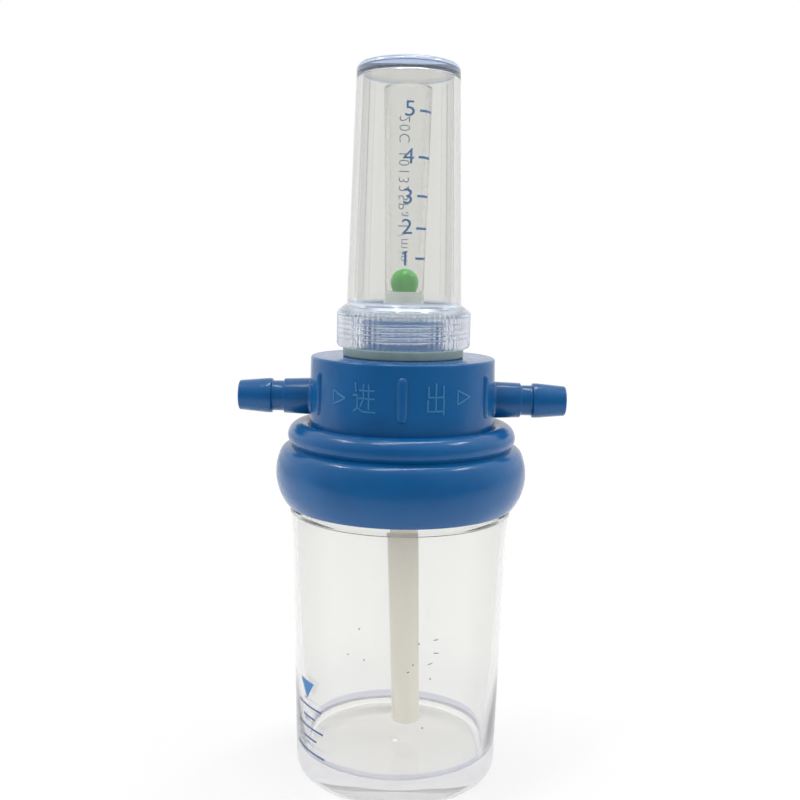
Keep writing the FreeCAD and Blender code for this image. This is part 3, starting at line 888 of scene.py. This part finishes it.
holder = as_object(turned(rounded([
    (seat_bore_r, holder_low.z, 0),
    (plug_side_r, holder_low.z, 0.3),
    (plug_side_r, body_top_z, 0),
    (cup_r, body_top_z, 0.2),
    (cup_r, cup_top_z, 0.3),
    (cup_bore_r, cup_top_z, 0.3),
    (cup_bore_r, cup_floor_z, 0.6),
    (post_r, cup_floor_z, 0.6),
    (post_r, seat_top_z, 0.15),
    (groove_r, seat_top_z, 0),
    (groove_r, tube_low.z, 0),
    (nozzle_r, tube_low.z, 0),
    (nozzle_r, seat_top_z, 0.1),
    (mouth_r, seat_top_z, 0),
    (seat_bore_r, cone_low_z, 0),
], closed=True), 128, closed=True), "clear_tube_holder")
holder_thread = thread_ridge("holder_thread", root_r=cup_r - 0.1, height=0.8, root_w=1.07,
                             crest_w=fine_crest_w, low_z=118.1, pitch=fine_pitch, turns=fine_turns)
combine(holder, "UNION", [holder_thread])
combine(holder, "DIFFERENCE", [
    rod("return_hole", return_r, (return_x, 0, body_top_z - 1), (return_x, 0, cup_floor_z + 1)),
])
smooth(holder)
dress(holder, holder_plastic, "head", "holder_clear", "tube_holder")

# %% [markdown]
# ## The ball
#
# The float is a small moulded ball. A fine seam runs round it where the two halves of its
# mould met, so its half outline has a tiny step at the equator. It is turned like the rest.

# %% The float ball
ball_r = (ball_high.x - ball_low.x) / 2
ball_z = (ball_high.z + ball_low.z) / 2
seam_h = 0.02
seam_w = 0.12
ball_outline = (arc(0, ball_z, ball_r - seam_h, -90, -2, 40)
                + [(ball_r, ball_z - seam_w / 2, 0), (ball_r, ball_z + seam_w / 2, 0)]
                + arc(0, ball_z, ball_r - seam_h, 2, 90, 40))
ball = as_object(turned(rounded(ball_outline), 96), "green_ball")
smooth(ball)
dress(ball, green_plastic, "float_ball", "ball_green", "float_ball")

# %% [markdown]
# ## The cover
#
# One clear moulding with two characters: a round knurled base for the fingers and a plain
# tapered tube above it, closed at the top. Outside and inside are drawn as one outline, so
# the wall has the thickness that the light needs: the grey line a little inside each edge is
# where the bore starts to reflect instead of letting light through, and the material adds a
# painted shade line there too. The outline is spun first, and then the vertices of the base's
# wall are pushed in by a wave, which is how a knurl sits on a real moulding: on the wall, and
# not on the shoulder or under the foot.

# %% The cover's outline
base_r = cover_high.x
base_low_z = cover_low.z
cover_top_z = cover_high.z
base_bore_r = 15.25
base_bore_top_z = 125.4
shoulder_r = 17.4
shoulder_z = 126.8
side_low_r = 15.2
side_low_z = 128.56
side_high_r = 13.4
top_round = 1.8
bore_low_r = 12.8
bore_high_r = 11.6
ceiling_z = cover_top_z - 3.0

cover_outline = rounded([
    (base_bore_r, base_low_z, 0.3),
    (base_r, base_low_z, 1.0),
    (base_r, shoulder_z - 0.6, 0.4),
    (shoulder_r, shoulder_z, 0.4),
    (side_low_r, side_low_z, 0.5),
    (side_high_r, cover_top_z, top_round),
    (0, cover_top_z, 0),
], 6) + rounded([
    (0, ceiling_z, 0),
    (bore_high_r, ceiling_z, 0.8),
    (bore_low_r, base_bore_top_z, 0.4),
    (base_bore_r, base_bore_top_z, 0.3),
    (base_bore_r, base_low_z + 0.3, 0),
], 6)
print("cover's outline has", len(cover_outline), "points")

# %% Spin the cover and press the knurl into its base
knurl_count = 72
knurl_depth = 0.32
knurl_steps = 4


def cover_shape():
    shape = bmesh.new()
    verts = [shape.verts.new(point * MM) for point in cover_outline]
    edges = [shape.edges.new(pair) for pair in zip(verts, verts[1:])
             if max(v.co.x for v in pair) > 0]
    edges.append(shape.edges.new((verts[-1], verts[0])))
    bmesh.ops.spin(shape, geom=verts + edges, cent=(0, 0, 0), axis=(0, 0, 1),
                   angle=2 * math.pi, steps=knurl_count * knurl_steps, use_merge=True)
    bmesh.ops.remove_doubles(shape, verts=shape.verts, dist=0.0005 * MM)
    bmesh.ops.recalc_face_normals(shape, faces=shape.faces)
    return shape


def press_knurl(shape):
    for vert in shape.verts:
        reach = math.hypot(vert.co.x, vert.co.y) / MM
        if reach < base_r - 0.4:
            continue
        angle = math.atan2(vert.co.y, vert.co.x)
        wave = (1 - math.cos(angle * knurl_count)) / 2
        vert.co.xy *= 1 - wave * knurl_depth / base_r
    return shape


cover = as_object(press_knurl(cover_shape()), "clear_cover")
print("knurl of", knurl_count, "waves,", knurl_depth, "mm deep")

# %% [markdown]
# ## The thread inside the cover
#
# A fine ridge inside the base fits the one on the holder. Light that meets its slopes is
# thrown back, so from outside it shows as pale rows between the painted blue reflection on
# the thread behind it. The ridge stands inwards, so its height is negative. Joining it leaves
# large and small faces side by side, and a Weighted Normal modifier keeps the large ones
# looking flat.

# %% Thread and normals of the cover
cover_thread = thread_ridge("cover_thread", root_r=base_bore_r + 0.1, height=-0.38, root_w=0.56,
                            crest_w=0.12, low_z=118.7, pitch=fine_pitch, turns=fine_turns)
combine(cover, "UNION", [cover_thread])
smooth(cover, 40)
weighted = cover.modifiers.new("weighted", "WEIGHTED_NORMAL")
weighted.keep_sharp = True
dress(cover, cover_plastic, "flow_cover", "cover_clear", "flow_cover")

# %% [markdown]
# ## Printing on round walls
#
# The flow scale, the level marks and the raised signs are drawn flat and then wrapped. A
# flat mark has its width along X and its height along Z. Wrapping turns its distance along X
# into an angle about the axis, and its depth into distance from the axis. The marks are made
# from text or small plates, cut every half millimetre first so that they can bend. A
# capital letter of Blender's own font is 0.7 of the text's size.

# %% Flat marks
capital_share = 0.7


def text_plate(words, height_mm, thickness_mm, spacing=1.0, thinner_mm=0.0):
    """Flat words in the XZ plane, centred by their box, as a closed bmesh in metres."""
    curve = bpy.data.curves.new("words", "FONT")
    curve.body = words
    curve.size = height_mm / capital_share * MM
    curve.space_character = spacing
    curve.offset = -thinner_mm * MM
    curve.resolution_u = 6
    curve.extrude = thickness_mm / 2 * MM
    typed = bpy.data.objects.new("words", curve)
    bpy.context.scene.collection.objects.link(typed)
    bpy.context.view_layer.update()
    seen = typed.evaluated_get(bpy.context.evaluated_depsgraph_get())
    shape = bmesh.new()
    shape.from_mesh(bpy.data.meshes.new_from_object(seen))
    bmesh.ops.remove_doubles(shape, verts=shape.verts, dist=0.001 * MM)
    bmesh.ops.transform(shape, matrix=Matrix.Rotation(math.radians(90), 4, "X"), verts=shape.verts)
    bpy.data.objects.remove(typed)
    for side in (0, 2):
        middle = (min(v.co[side] for v in shape.verts) + max(v.co[side] for v in shape.verts)) / 2
        for vert in shape.verts:
            vert.co[side] -= middle
    return shape


def plate(width_mm, height_mm, thickness_mm):
    """A thin bar in the XZ plane, centred."""
    shape = bmesh.new()
    bmesh.ops.create_cube(shape, size=1)
    bmesh.ops.scale(shape, vec=(width_mm * MM, thickness_mm * MM, height_mm * MM),
                    verts=shape.verts)
    return shape


# %% Bending flat marks round a wall
bend_step = 0.5


def slice_for_bending(shape, step_mm=bend_step):
    """Cuts a flat shape across its width, so that it can follow a curve."""
    low = min(v.co.x for v in shape.verts)
    high = max(v.co.x for v in shape.verts)
    count = int((high - low) / (step_mm * MM))
    for index in range(1, count + 1):
        at_x = low + (high - low) * index / (count + 1)
        bmesh.ops.bisect_plane(shape, geom=shape.verts[:] + shape.edges[:] + shape.faces[:],
                               plane_co=(at_x, 0, 0), plane_no=(1, 0, 0), dist=1e-9)


def wrap(shape, radius_at, turn_deg, z_mm, tilt_deg=0.0):
    """Bends a flat shape round a wall of radius radius_at(z), centred turn_deg from the front."""
    tilt = Matrix.Rotation(math.radians(tilt_deg), 4, "Y")
    bmesh.ops.transform(shape, matrix=tilt, verts=shape.verts)
    slice_for_bending(shape)
    for vert in shape.verts:
        height = vert.co.z / MM + z_mm
        wall_r = radius_at(height)
        angle = math.radians(turn_deg - 90) + vert.co.x / MM / wall_r
        reach = (wall_r - vert.co.y / MM) * MM
        vert.co = Vector((reach * math.cos(angle), reach * math.sin(angle), height * MM))
    bmesh.ops.recalc_face_normals(shape, faces=shape.faces)
    return shape


def gather(name, shapes):
    """Several bmeshes as one piece."""
    whole = bmesh.new()
    for shape in shapes:
        part = bpy.data.meshes.new("part")
        shape.to_mesh(part)
        shape.free()
        whole.from_mesh(part)
        bpy.data.meshes.remove(part)
    return as_object(whole, name)


# %% [markdown]
# ## The flow scale
#
# The numbers stand for litres per minute and are read at the middle of the ball. They aren't
# evenly spaced, because the gap round the ball grows faster than the height does. The ink
# is a film a few hundredths of a millimetre thick on the outside of the tube. A short
# slanting plate gives the 1 the long flag that it has on the real tube. A fine note at the
# back gives the gas's temperature, its pressure and the unit, as such tubes have. It runs
# down the tube, so from the front it is seen through the tube and the wrong way round.

# %% Numbers and ticks on the flow tube
ink_t = 0.04
digit_h = 3.85
digit_widening = 1.12
digit_places = {"1": (0.5, 140.35), "2": (3.3, 148.5), "3": (3.7, 156.1), "4": (3.6, 166.2),
                "5": (4.6, 177.9)}
tick_heights = (140.35, 148.05, 156.25, 166.0, 177.5)
tick_h = 0.6
tick_turn = 53.0
tick_turn_w = 47.0
flag_l = 1.5
flag_w = 0.42
flag_x = -0.16
flag_z = 1.42
flag_tilt = math.radians(-32)


def tube_r(z):
    share = (z - seat_top_z) / (tube_high.z - seat_top_z)
    return tube_low_bore_r + tube_wall + share * (tube_high_bore_r - tube_low_bore_r)


def on_tube(z):
    return tube_r(z) + ink_t / 2


flag = plate(flag_l, flag_w, ink_t)
flag_place = Matrix.Translation((flag_x * MM, 0, flag_z * MM))
bmesh.ops.transform(flag, matrix=flag_place @ Matrix.Rotation(flag_tilt, 4, "Y"),
                    verts=flag.verts)
marks = []
for words, (turn, z) in digit_places.items():
    digit = text_plate(words, digit_h, ink_t)
    bmesh.ops.scale(digit, vec=(digit_widening, 1, 1), verts=digit.verts)
    marks.append(wrap(digit, on_tube, turn, z))
marks.append(wrap(flag, on_tube, *digit_places["1"]))
marks += [wrap(plate(math.radians(tick_turn_w) * tube_r(z), tick_h, ink_t), on_tube, tick_turn, z)
          for z in tick_heights]
flow_scale = gather("flow_scale", marks)
dress(flow_scale, blue_ink, "head", "tube_clear")

# %% The note at the back of the flow tube
note_h = 3.5
note_l = 36.8
note_z = 158.4
note_turn = 189.0

note = text_plate("20C 101325Pa L/min", note_h, ink_t, spacing=1.2, thinner_mm=0.07)
note_reach = max(v.co.x for v in note.verts) - min(v.co.x for v in note.verts)
bmesh.ops.scale(note, vec=(note_l * MM / note_reach, 1, 1), verts=note.verts)
unit_note = gather("unit_note", [wrap(note, on_tube, note_turn, note_z, 90.0)])
dress(unit_note, faint_ink, "head", "tube_clear")

# %% [markdown]
# ## Level marks on the bottle
#
# A triangle points down at a ladder of long and short lines: the water is filled up to the
# ladder and is topped up when it sinks below it. They are printed on the outside, far
# round to the left, so that they lean in the view from the front. The triangle is a piece of
# its own, because a large patch of ink looks bluer than the thin lines do.

# %% Triangle and level lines


def bottle_r(z):
    return foot_side_r + (step_r - foot_side_r) * (z - foot_round) / (step_z - foot_round) + ink_t


def triangle_plate(width_mm, height_mm, thickness_mm):
    """A filled triangle that points down."""
    shape = bmesh.new()
    bmesh.ops.create_cone(shape, cap_ends=True, segments=3, radius1=MM, radius2=MM,
                          depth=thickness_mm * MM)
    spin_down = Matrix.Rotation(math.radians(90), 4, "X") @ Matrix.Rotation(math.pi, 4, "Z")
    bmesh.ops.transform(shape, matrix=spin_down, verts=shape.verts)
    bmesh.ops.scale(shape, vec=(width_mm / math.sqrt(3), 1, height_mm / 1.5), verts=shape.verts)
    bmesh.ops.translate(shape, vec=(0, 0, height_mm / 6 * MM), verts=shape.verts)
    return shape


arrow_w = 6.7
arrow_h = 4.9
arrow_turn = -56.2
arrow_z = 27.1
level_line_h = 0.52
level_lines = ((11.6, -55.3, 22.6), (5.8, -54.8, 19.65), (12.1, -54.6, 16.7),
               (6.0, -54.0, 13.65), (14.0, -55.8, 9.9))

triangle = wrap(triangle_plate(arrow_w, arrow_h, ink_t), bottle_r, arrow_turn, arrow_z)
dress(as_object(triangle, "level_arrow"), blue_ink, "bottle", "bottle_clear")
levels = gather("level_marks", [wrap(plate(width, level_line_h, ink_t), bottle_r, turn, z)
                                for width, turn, z in level_lines])
dress(levels, grey_ink, "bottle", "bottle_clear")

# %% [markdown]
# ## Signs moulded on the head
#
# Two Chinese signs, for in and out, and two hollow triangles tell the nurse which barb is
# which. They stand a third of a millimetre proud of the drum, and their blue is a paler copy:
# a painted highlight for raised edges that catch the light. Each stroke is a bar with eased
# edges, half sunk in the wall, because an engraver cuts such signs into a mould stroke by
# stroke.

# %% A stroke on the drum of the head
raised_t = 0.66
stroke_w = 0.46
stroke_round = 0.14


def on_body(z):
    """The drum is straight, so its radius is the same at every height."""
    return body_r


def strokes_at(turn_deg, z_mm, lines):
    """Bars that follow lines of points (x, z), wrapped round the drum."""
    bars = []
    for line in lines:
        for (x0, z0), (x1, z1) in zip(line, line[1:]):
            bar = plate(math.hypot(x1 - x0, z1 - z0) + stroke_w * 0.8, stroke_w, raised_t)
            bmesh.ops.bevel(bar, geom=bar.edges[:], offset=stroke_round * MM, segments=2,
                            affect="EDGES", profile=0.5, material=-1)
            slice_for_bending(bar)
            turn = Matrix.Rotation(-math.atan2(z1 - z0, x1 - x0), 4, "Y")
            middle = Vector(((x0 + x1) / 2, 0, (z0 + z1) / 2)) * MM
            bmesh.ops.transform(bar, matrix=Matrix.Translation(middle) @ turn, verts=bar.verts)
            bars.append(wrap(bar, on_body, turn_deg, z_mm))
    return bars


# %% The signs and the arrows
arrow = [[(-1.95, 1.75), (1.95, 0.0), (-1.95, -1.75), (-1.95, 1.75)]]
sign_in = [
    [(-2.35, 3.6), (-2.1, 1.7)],
    [(-2.95, 0.75), (-1.8, 0.75), (-1.8, -2.3), (-2.85, -3.3)],
    [(-1.8, -2.3), (-0.3, -3.3), (2.85, -3.3)],
    [(-1.25, 2.0), (2.55, 2.0)],
    [(-1.3, 0.0), (2.6, 0.0)],
    [(-0.1, 3.5), (-0.1, 0.0), (-0.95, -1.85)],
    [(1.25, 3.5), (1.25, -2.55)],
]
sign_out = [
    [(0.0, 3.8), (0.0, -2.75)],
    [(-1.9, 3.1), (-1.9, 0.5), (2.0, 0.5)],
    [(2.0, 3.2), (2.0, 0.2)],
    [(-2.05, -0.3), (-2.05, -3.0), (2.1, -3.0)],
    [(2.1, -0.2), (2.1, -3.8)],
]
raised = strokes_at(-39.4, 105.45, arrow) + strokes_at(-22.3, 105.8, sign_in)
raised += strokes_at(19.6, 106.0, sign_out) + strokes_at(38.3, 106.2, arrow)
raised_marks = gather("raised_marks", raised)
smooth(raised_marks, 50)
dress(raised_marks, painted_highlight_blue, "head", "head_blue")

# %% [markdown]
# ## Rubber rings that stay as packed
#
# Two rings need no new mesh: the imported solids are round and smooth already. They only get
# the pale rubber of a seal.

# %% Seal rings
for node in ("bottle_seal", "plug_ring"):
    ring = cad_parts[node]
    ring.data.materials.clear()
    ring.data.materials.append(pale_rubber)
    print(node, "stays as packed")

# %% [markdown]
# ## Specks
#
# The bottle in the photo isn't spotless: a few dark specks and some short teal smears sit
# on its wall. Each is a tiny flat chip on the outside, with its turn and height worked out
# from where it shows.

# %% Specks and smears on the bottle
chip_t = 0.02
speck_places = [(-19.4, 48.4), (-25.5, 41.2), (-16.7, 40.4), (10.9, 45.2), (8.1, 39.7),
                (5.7, 37.8), (17.2, 35.7), (13.8, 22.7)]
smear_places = [(19.6, 45.9), (19.9, 42.4), (16.9, 39.7)]
chips = random.Random(7)


def chip(width_mm, height_mm, turn_deg, z_mm):
    shape = bmesh.new()
    bmesh.ops.create_icosphere(shape, subdivisions=2, radius=MM)
    bmesh.ops.scale(shape, vec=(width_mm / 2, chip_t, height_mm / 2), verts=shape.verts)
    for vert in shape.verts:
        vert.co.x *= chips.uniform(0.8, 1.2)
        vert.co.z *= chips.uniform(0.8, 1.2)
    return wrap(shape, bottle_r, turn_deg, z_mm, chips.uniform(-35, 35))


specks = gather("specks", [chip(0.45, 0.35, turn, z) for turn, z in speck_places])
smears = gather("smears", [chip(1.5, 0.25, turn, z) for turn, z in smear_places])
dress(specks, dark_dirt, "bottle", "bottle_clear")
dress(smears, teal_dirt, "bottle", "bottle_clear")

# %% [markdown]
# ## The floor
#
# The object stands on pale paper. Seen straight or through clear plastic the paper glows
# white, but less so within 16 cm of the foot, where it keeps the object's shadow. In gloss it
# is dark in front of the object, as the room before a studio table is, and that keeps the
# undersides of the blue bead and bulge deep.

# %% Floor
shadow_near = 0.04
shadow_far = 0.16
shadow_glow = 0.65


def make_floor():
    shape = bmesh.new()
    bmesh.ops.create_grid(shape, x_segments=2, y_segments=2, size=4.0)
    floor = as_object(shape, "floor")
    material, nodes, links, shader = new_material("pale_floor")
    place = nodes.new("ShaderNodeTexCoord")
    apart = nodes.new("ShaderNodeSeparateXYZ")
    links.new(place.outputs["Object"], apart.inputs["Vector"])
    in_front = ramp(nodes, links, apart.outputs["Y"], -0.05, -0.35)
    dark = maths(nodes, links, "MULTIPLY", light_path_any(nodes, links, "Is Glossy Ray"), in_front)
    links.new(mixed_colour(nodes, links, dark, (0.90, 0.90, 0.89), (0.14, 0.16, 0.20)),
              shader.inputs["Base Color"])
    shader.inputs["Roughness"].default_value = 0.8
    shader.inputs["Specular IOR Level"].default_value = 0.1
    glow = nodes.new("ShaderNodeEmission")
    glow.inputs["Color"].default_value = (1, 1, 1, 1)
    away = nodes.new("ShaderNodeVectorMath")
    away.operation = "LENGTH"
    links.new(place.outputs["Object"], away.inputs[0])
    white = ramp(nodes, links, away.outputs["Value"], shadow_near, shadow_far, shadow_glow, 1.0)
    straight = maths(nodes, links, "MULTIPLY", white,
                     light_path_any(nodes, links, "Is Camera Ray"))
    share = maths(nodes, links, "MAXIMUM", straight,
                  light_path_any(nodes, links, "Is Transmission Ray"))
    surface = mixed_shader(nodes, links, share, shader.outputs["BSDF"], glow.outputs["Emission"])
    links.new(surface, nodes["Material Output"].inputs["Surface"])
    floor.data.materials.append(material)


make_floor()
print("floor white from", shadow_far, "m out")

# %% [markdown]
# ## The room
#
# Clear plastic shows its surroundings more than itself, and gloss does too, so the world is a
# different one to each kind of ray. Seen straight it is white. Through clear plastic it is
# white behind and a little greyer to the sides and in front, which draws the edges of the
# walls. In gloss it is dark below and towards the viewer, so that the blue stays deep, and
# bright above and behind. For the plain light on the object, the room is bright to the left
# and right and dimmer elsewhere, which lightens the flanks of the blue.

# %% World


def by_direction(nodes, links, value, low, high, colour_low, colour_high):
    """A background whose colour runs from one to another while a value goes from low to high."""
    background = nodes.new("ShaderNodeBackground")
    share = ramp(nodes, links, value, low, high)
    links.new(mixed_colour(nodes, links, share, colour_low, colour_high),
              background.inputs["Color"])
    return background.outputs["Background"]


def make_world():
    world = bpy.data.worlds.new("studio")
    world.use_nodes = True
    bpy.context.scene.world = world
    nodes, links = world.node_tree.nodes, world.node_tree.links
    place = nodes.new("ShaderNodeTexCoord")
    apart = nodes.new("ShaderNodeSeparateXYZ")
    links.new(place.outputs["Generated"], apart.inputs["Vector"])
    back_and_up = maths(nodes, links, "ADD", apart.outputs["Y"], apart.outputs["Z"])
    aside = maths(nodes, links, "ABSOLUTE", apart.outputs["X"], 0)
    room = by_direction(nodes, links, aside, 0.2, 0.9, (0.42, 0.42, 0.43), (1.50, 1.50, 1.55))
    gloss = by_direction(nodes, links, back_and_up, -0.5, 0.7,
                         (0.12, 0.13, 0.15), (0.95, 0.97, 1.0))
    through = by_direction(nodes, links, apart.outputs["Y"], 0.2, 0.75,
                           (0.94, 0.94, 0.95), (1.0, 1.0, 1.0))
    white = nodes.new("ShaderNodeBackground")
    white.inputs["Color"].default_value = (1, 1, 1, 1)
    seen = mixed_shader(nodes, links, light_path_any(nodes, links, "Is Glossy Ray"), room, gloss)
    seen = mixed_shader(nodes, links, light_path_any(nodes, links, "Is Transmission Ray"),
                        seen, through)
    seen = mixed_shader(nodes, links, light_path_any(nodes, links, "Is Camera Ray"),
                        seen, white.outputs["Background"])
    links.new(seen, nodes["World Output"].inputs["Surface"])


make_world()
print("world", bpy.context.scene.world.name)

# %% [markdown]
# ## The backdrop
#
# A white sheet stands behind the object, as in a product studio. It makes the clear walls
# read as clear from the photo's side, where they would otherwise show the greyer sides of
# the room.

# %% Backdrop
sheet_y = 0.9
sheet_z = 0.35


def make_backdrop():
    """A white sheet behind the object, seen straight, in gloss and through clear plastic."""
    shape = bmesh.new()
    bmesh.ops.create_grid(shape, x_segments=1, y_segments=1, size=0.5)
    stand_up = Matrix.Translation((0, sheet_y, sheet_z)) @ Matrix.Rotation(math.radians(90), 4, "X")
    bmesh.ops.transform(shape, matrix=stand_up, verts=shape.verts)
    sheet = as_object(shape, "backdrop")
    material, nodes, links, shader = new_material("white_backdrop")
    shader.inputs["Base Color"].default_value = (0.9, 0.9, 0.9, 1)
    glow = nodes.new("ShaderNodeEmission")
    glow.inputs["Color"].default_value = (1, 1, 1, 1)
    seen = light_path_any(nodes, links, "Is Camera Ray", "Is Glossy Ray", "Is Transmission Ray")
    surface = mixed_shader(nodes, links, seen, shader.outputs["BSDF"], glow.outputs["Emission"])
    links.new(surface, nodes["Material Output"].inputs["Surface"])
    sheet.data.materials.append(material)


make_backdrop()
print("backdrop", sheet_y, "m behind the object")

# %% [markdown]
# ## The lamps
#
# Three long narrow panels hang in a row overhead, with gaps between them. Each is far wider
# than deep, so that on the round bead and bulge it shows as a thin streak along the form, and
# the gaps break the streak. They are aimed at the head.

# %% Lamps
lamp_y = 0.01
lamp_z = 0.75
lamp_depth = 0.07
lamp_aim = Vector((0, 0, 0.1))


def panel(name, x, width, watts):
    light = bpy.data.lights.new(name, "AREA")
    light.shape = "RECTANGLE"
    light.size = width
    light.size_y = lamp_depth
    light.energy = watts
    lamp = bpy.data.objects.new(name, light)
    place = Vector((x, lamp_y, lamp_z))
    lamp.location = place
    lamp.rotation_mode = "QUATERNION"
    lamp.rotation_quaternion = (lamp_aim - place).to_track_quat("-Z", "Y")
    bpy.context.scene.collection.objects.link(lamp)
    print(name, watts, "W")


panel("panel_left", -0.46, 0.22, 0.8)
panel("panel_middle", -0.01, 0.58, 1.6)
panel("panel_right", 0.46, 0.24, 0.9)

# %% [markdown]
# ## The camera
#
# The photo was taken from close by: the object is under 30 cm away, which is why its top and
# its foot curve so much. The camera stands where the ellipses of the bottle, the skirt and
# the knurled base all fit at once, and it is rolled by a degree.

# %% Camera
camera_place = Vector((0, -0.256, 0.1372))
lens_mm = 43.01
pitch = math.radians(7.70)
yaw = math.radians(0.13)
roll = math.radians(1.15)


def make_camera():
    ahead = Vector((-math.sin(yaw) * math.cos(pitch), math.cos(yaw) * math.cos(pitch),
                    -math.sin(pitch)))
    level_right = Vector((math.cos(yaw), math.sin(yaw), 0))
    level_up = level_right.cross(ahead)
    right = math.cos(roll) * level_right + math.sin(roll) * level_up
    up = math.cos(roll) * level_up - math.sin(roll) * level_right
    data = bpy.data.cameras.new("camera")
    data.sensor_width = 36.0
    data.lens = lens_mm
    data.clip_start = 0.01
    camera = bpy.data.objects.new("camera", data)
    turn = Matrix((right, up, -ahead)).transposed().to_4x4()
    camera.matrix_world = Matrix.Translation(camera_place) @ turn
    bpy.context.scene.collection.objects.link(camera)
    bpy.context.scene.camera = camera
    print("camera", round(camera_place.length / MM), "mm from the foot, lens", lens_mm, "mm")


make_camera()
bpy.context.scene.view_settings.view_transform = "Standard"
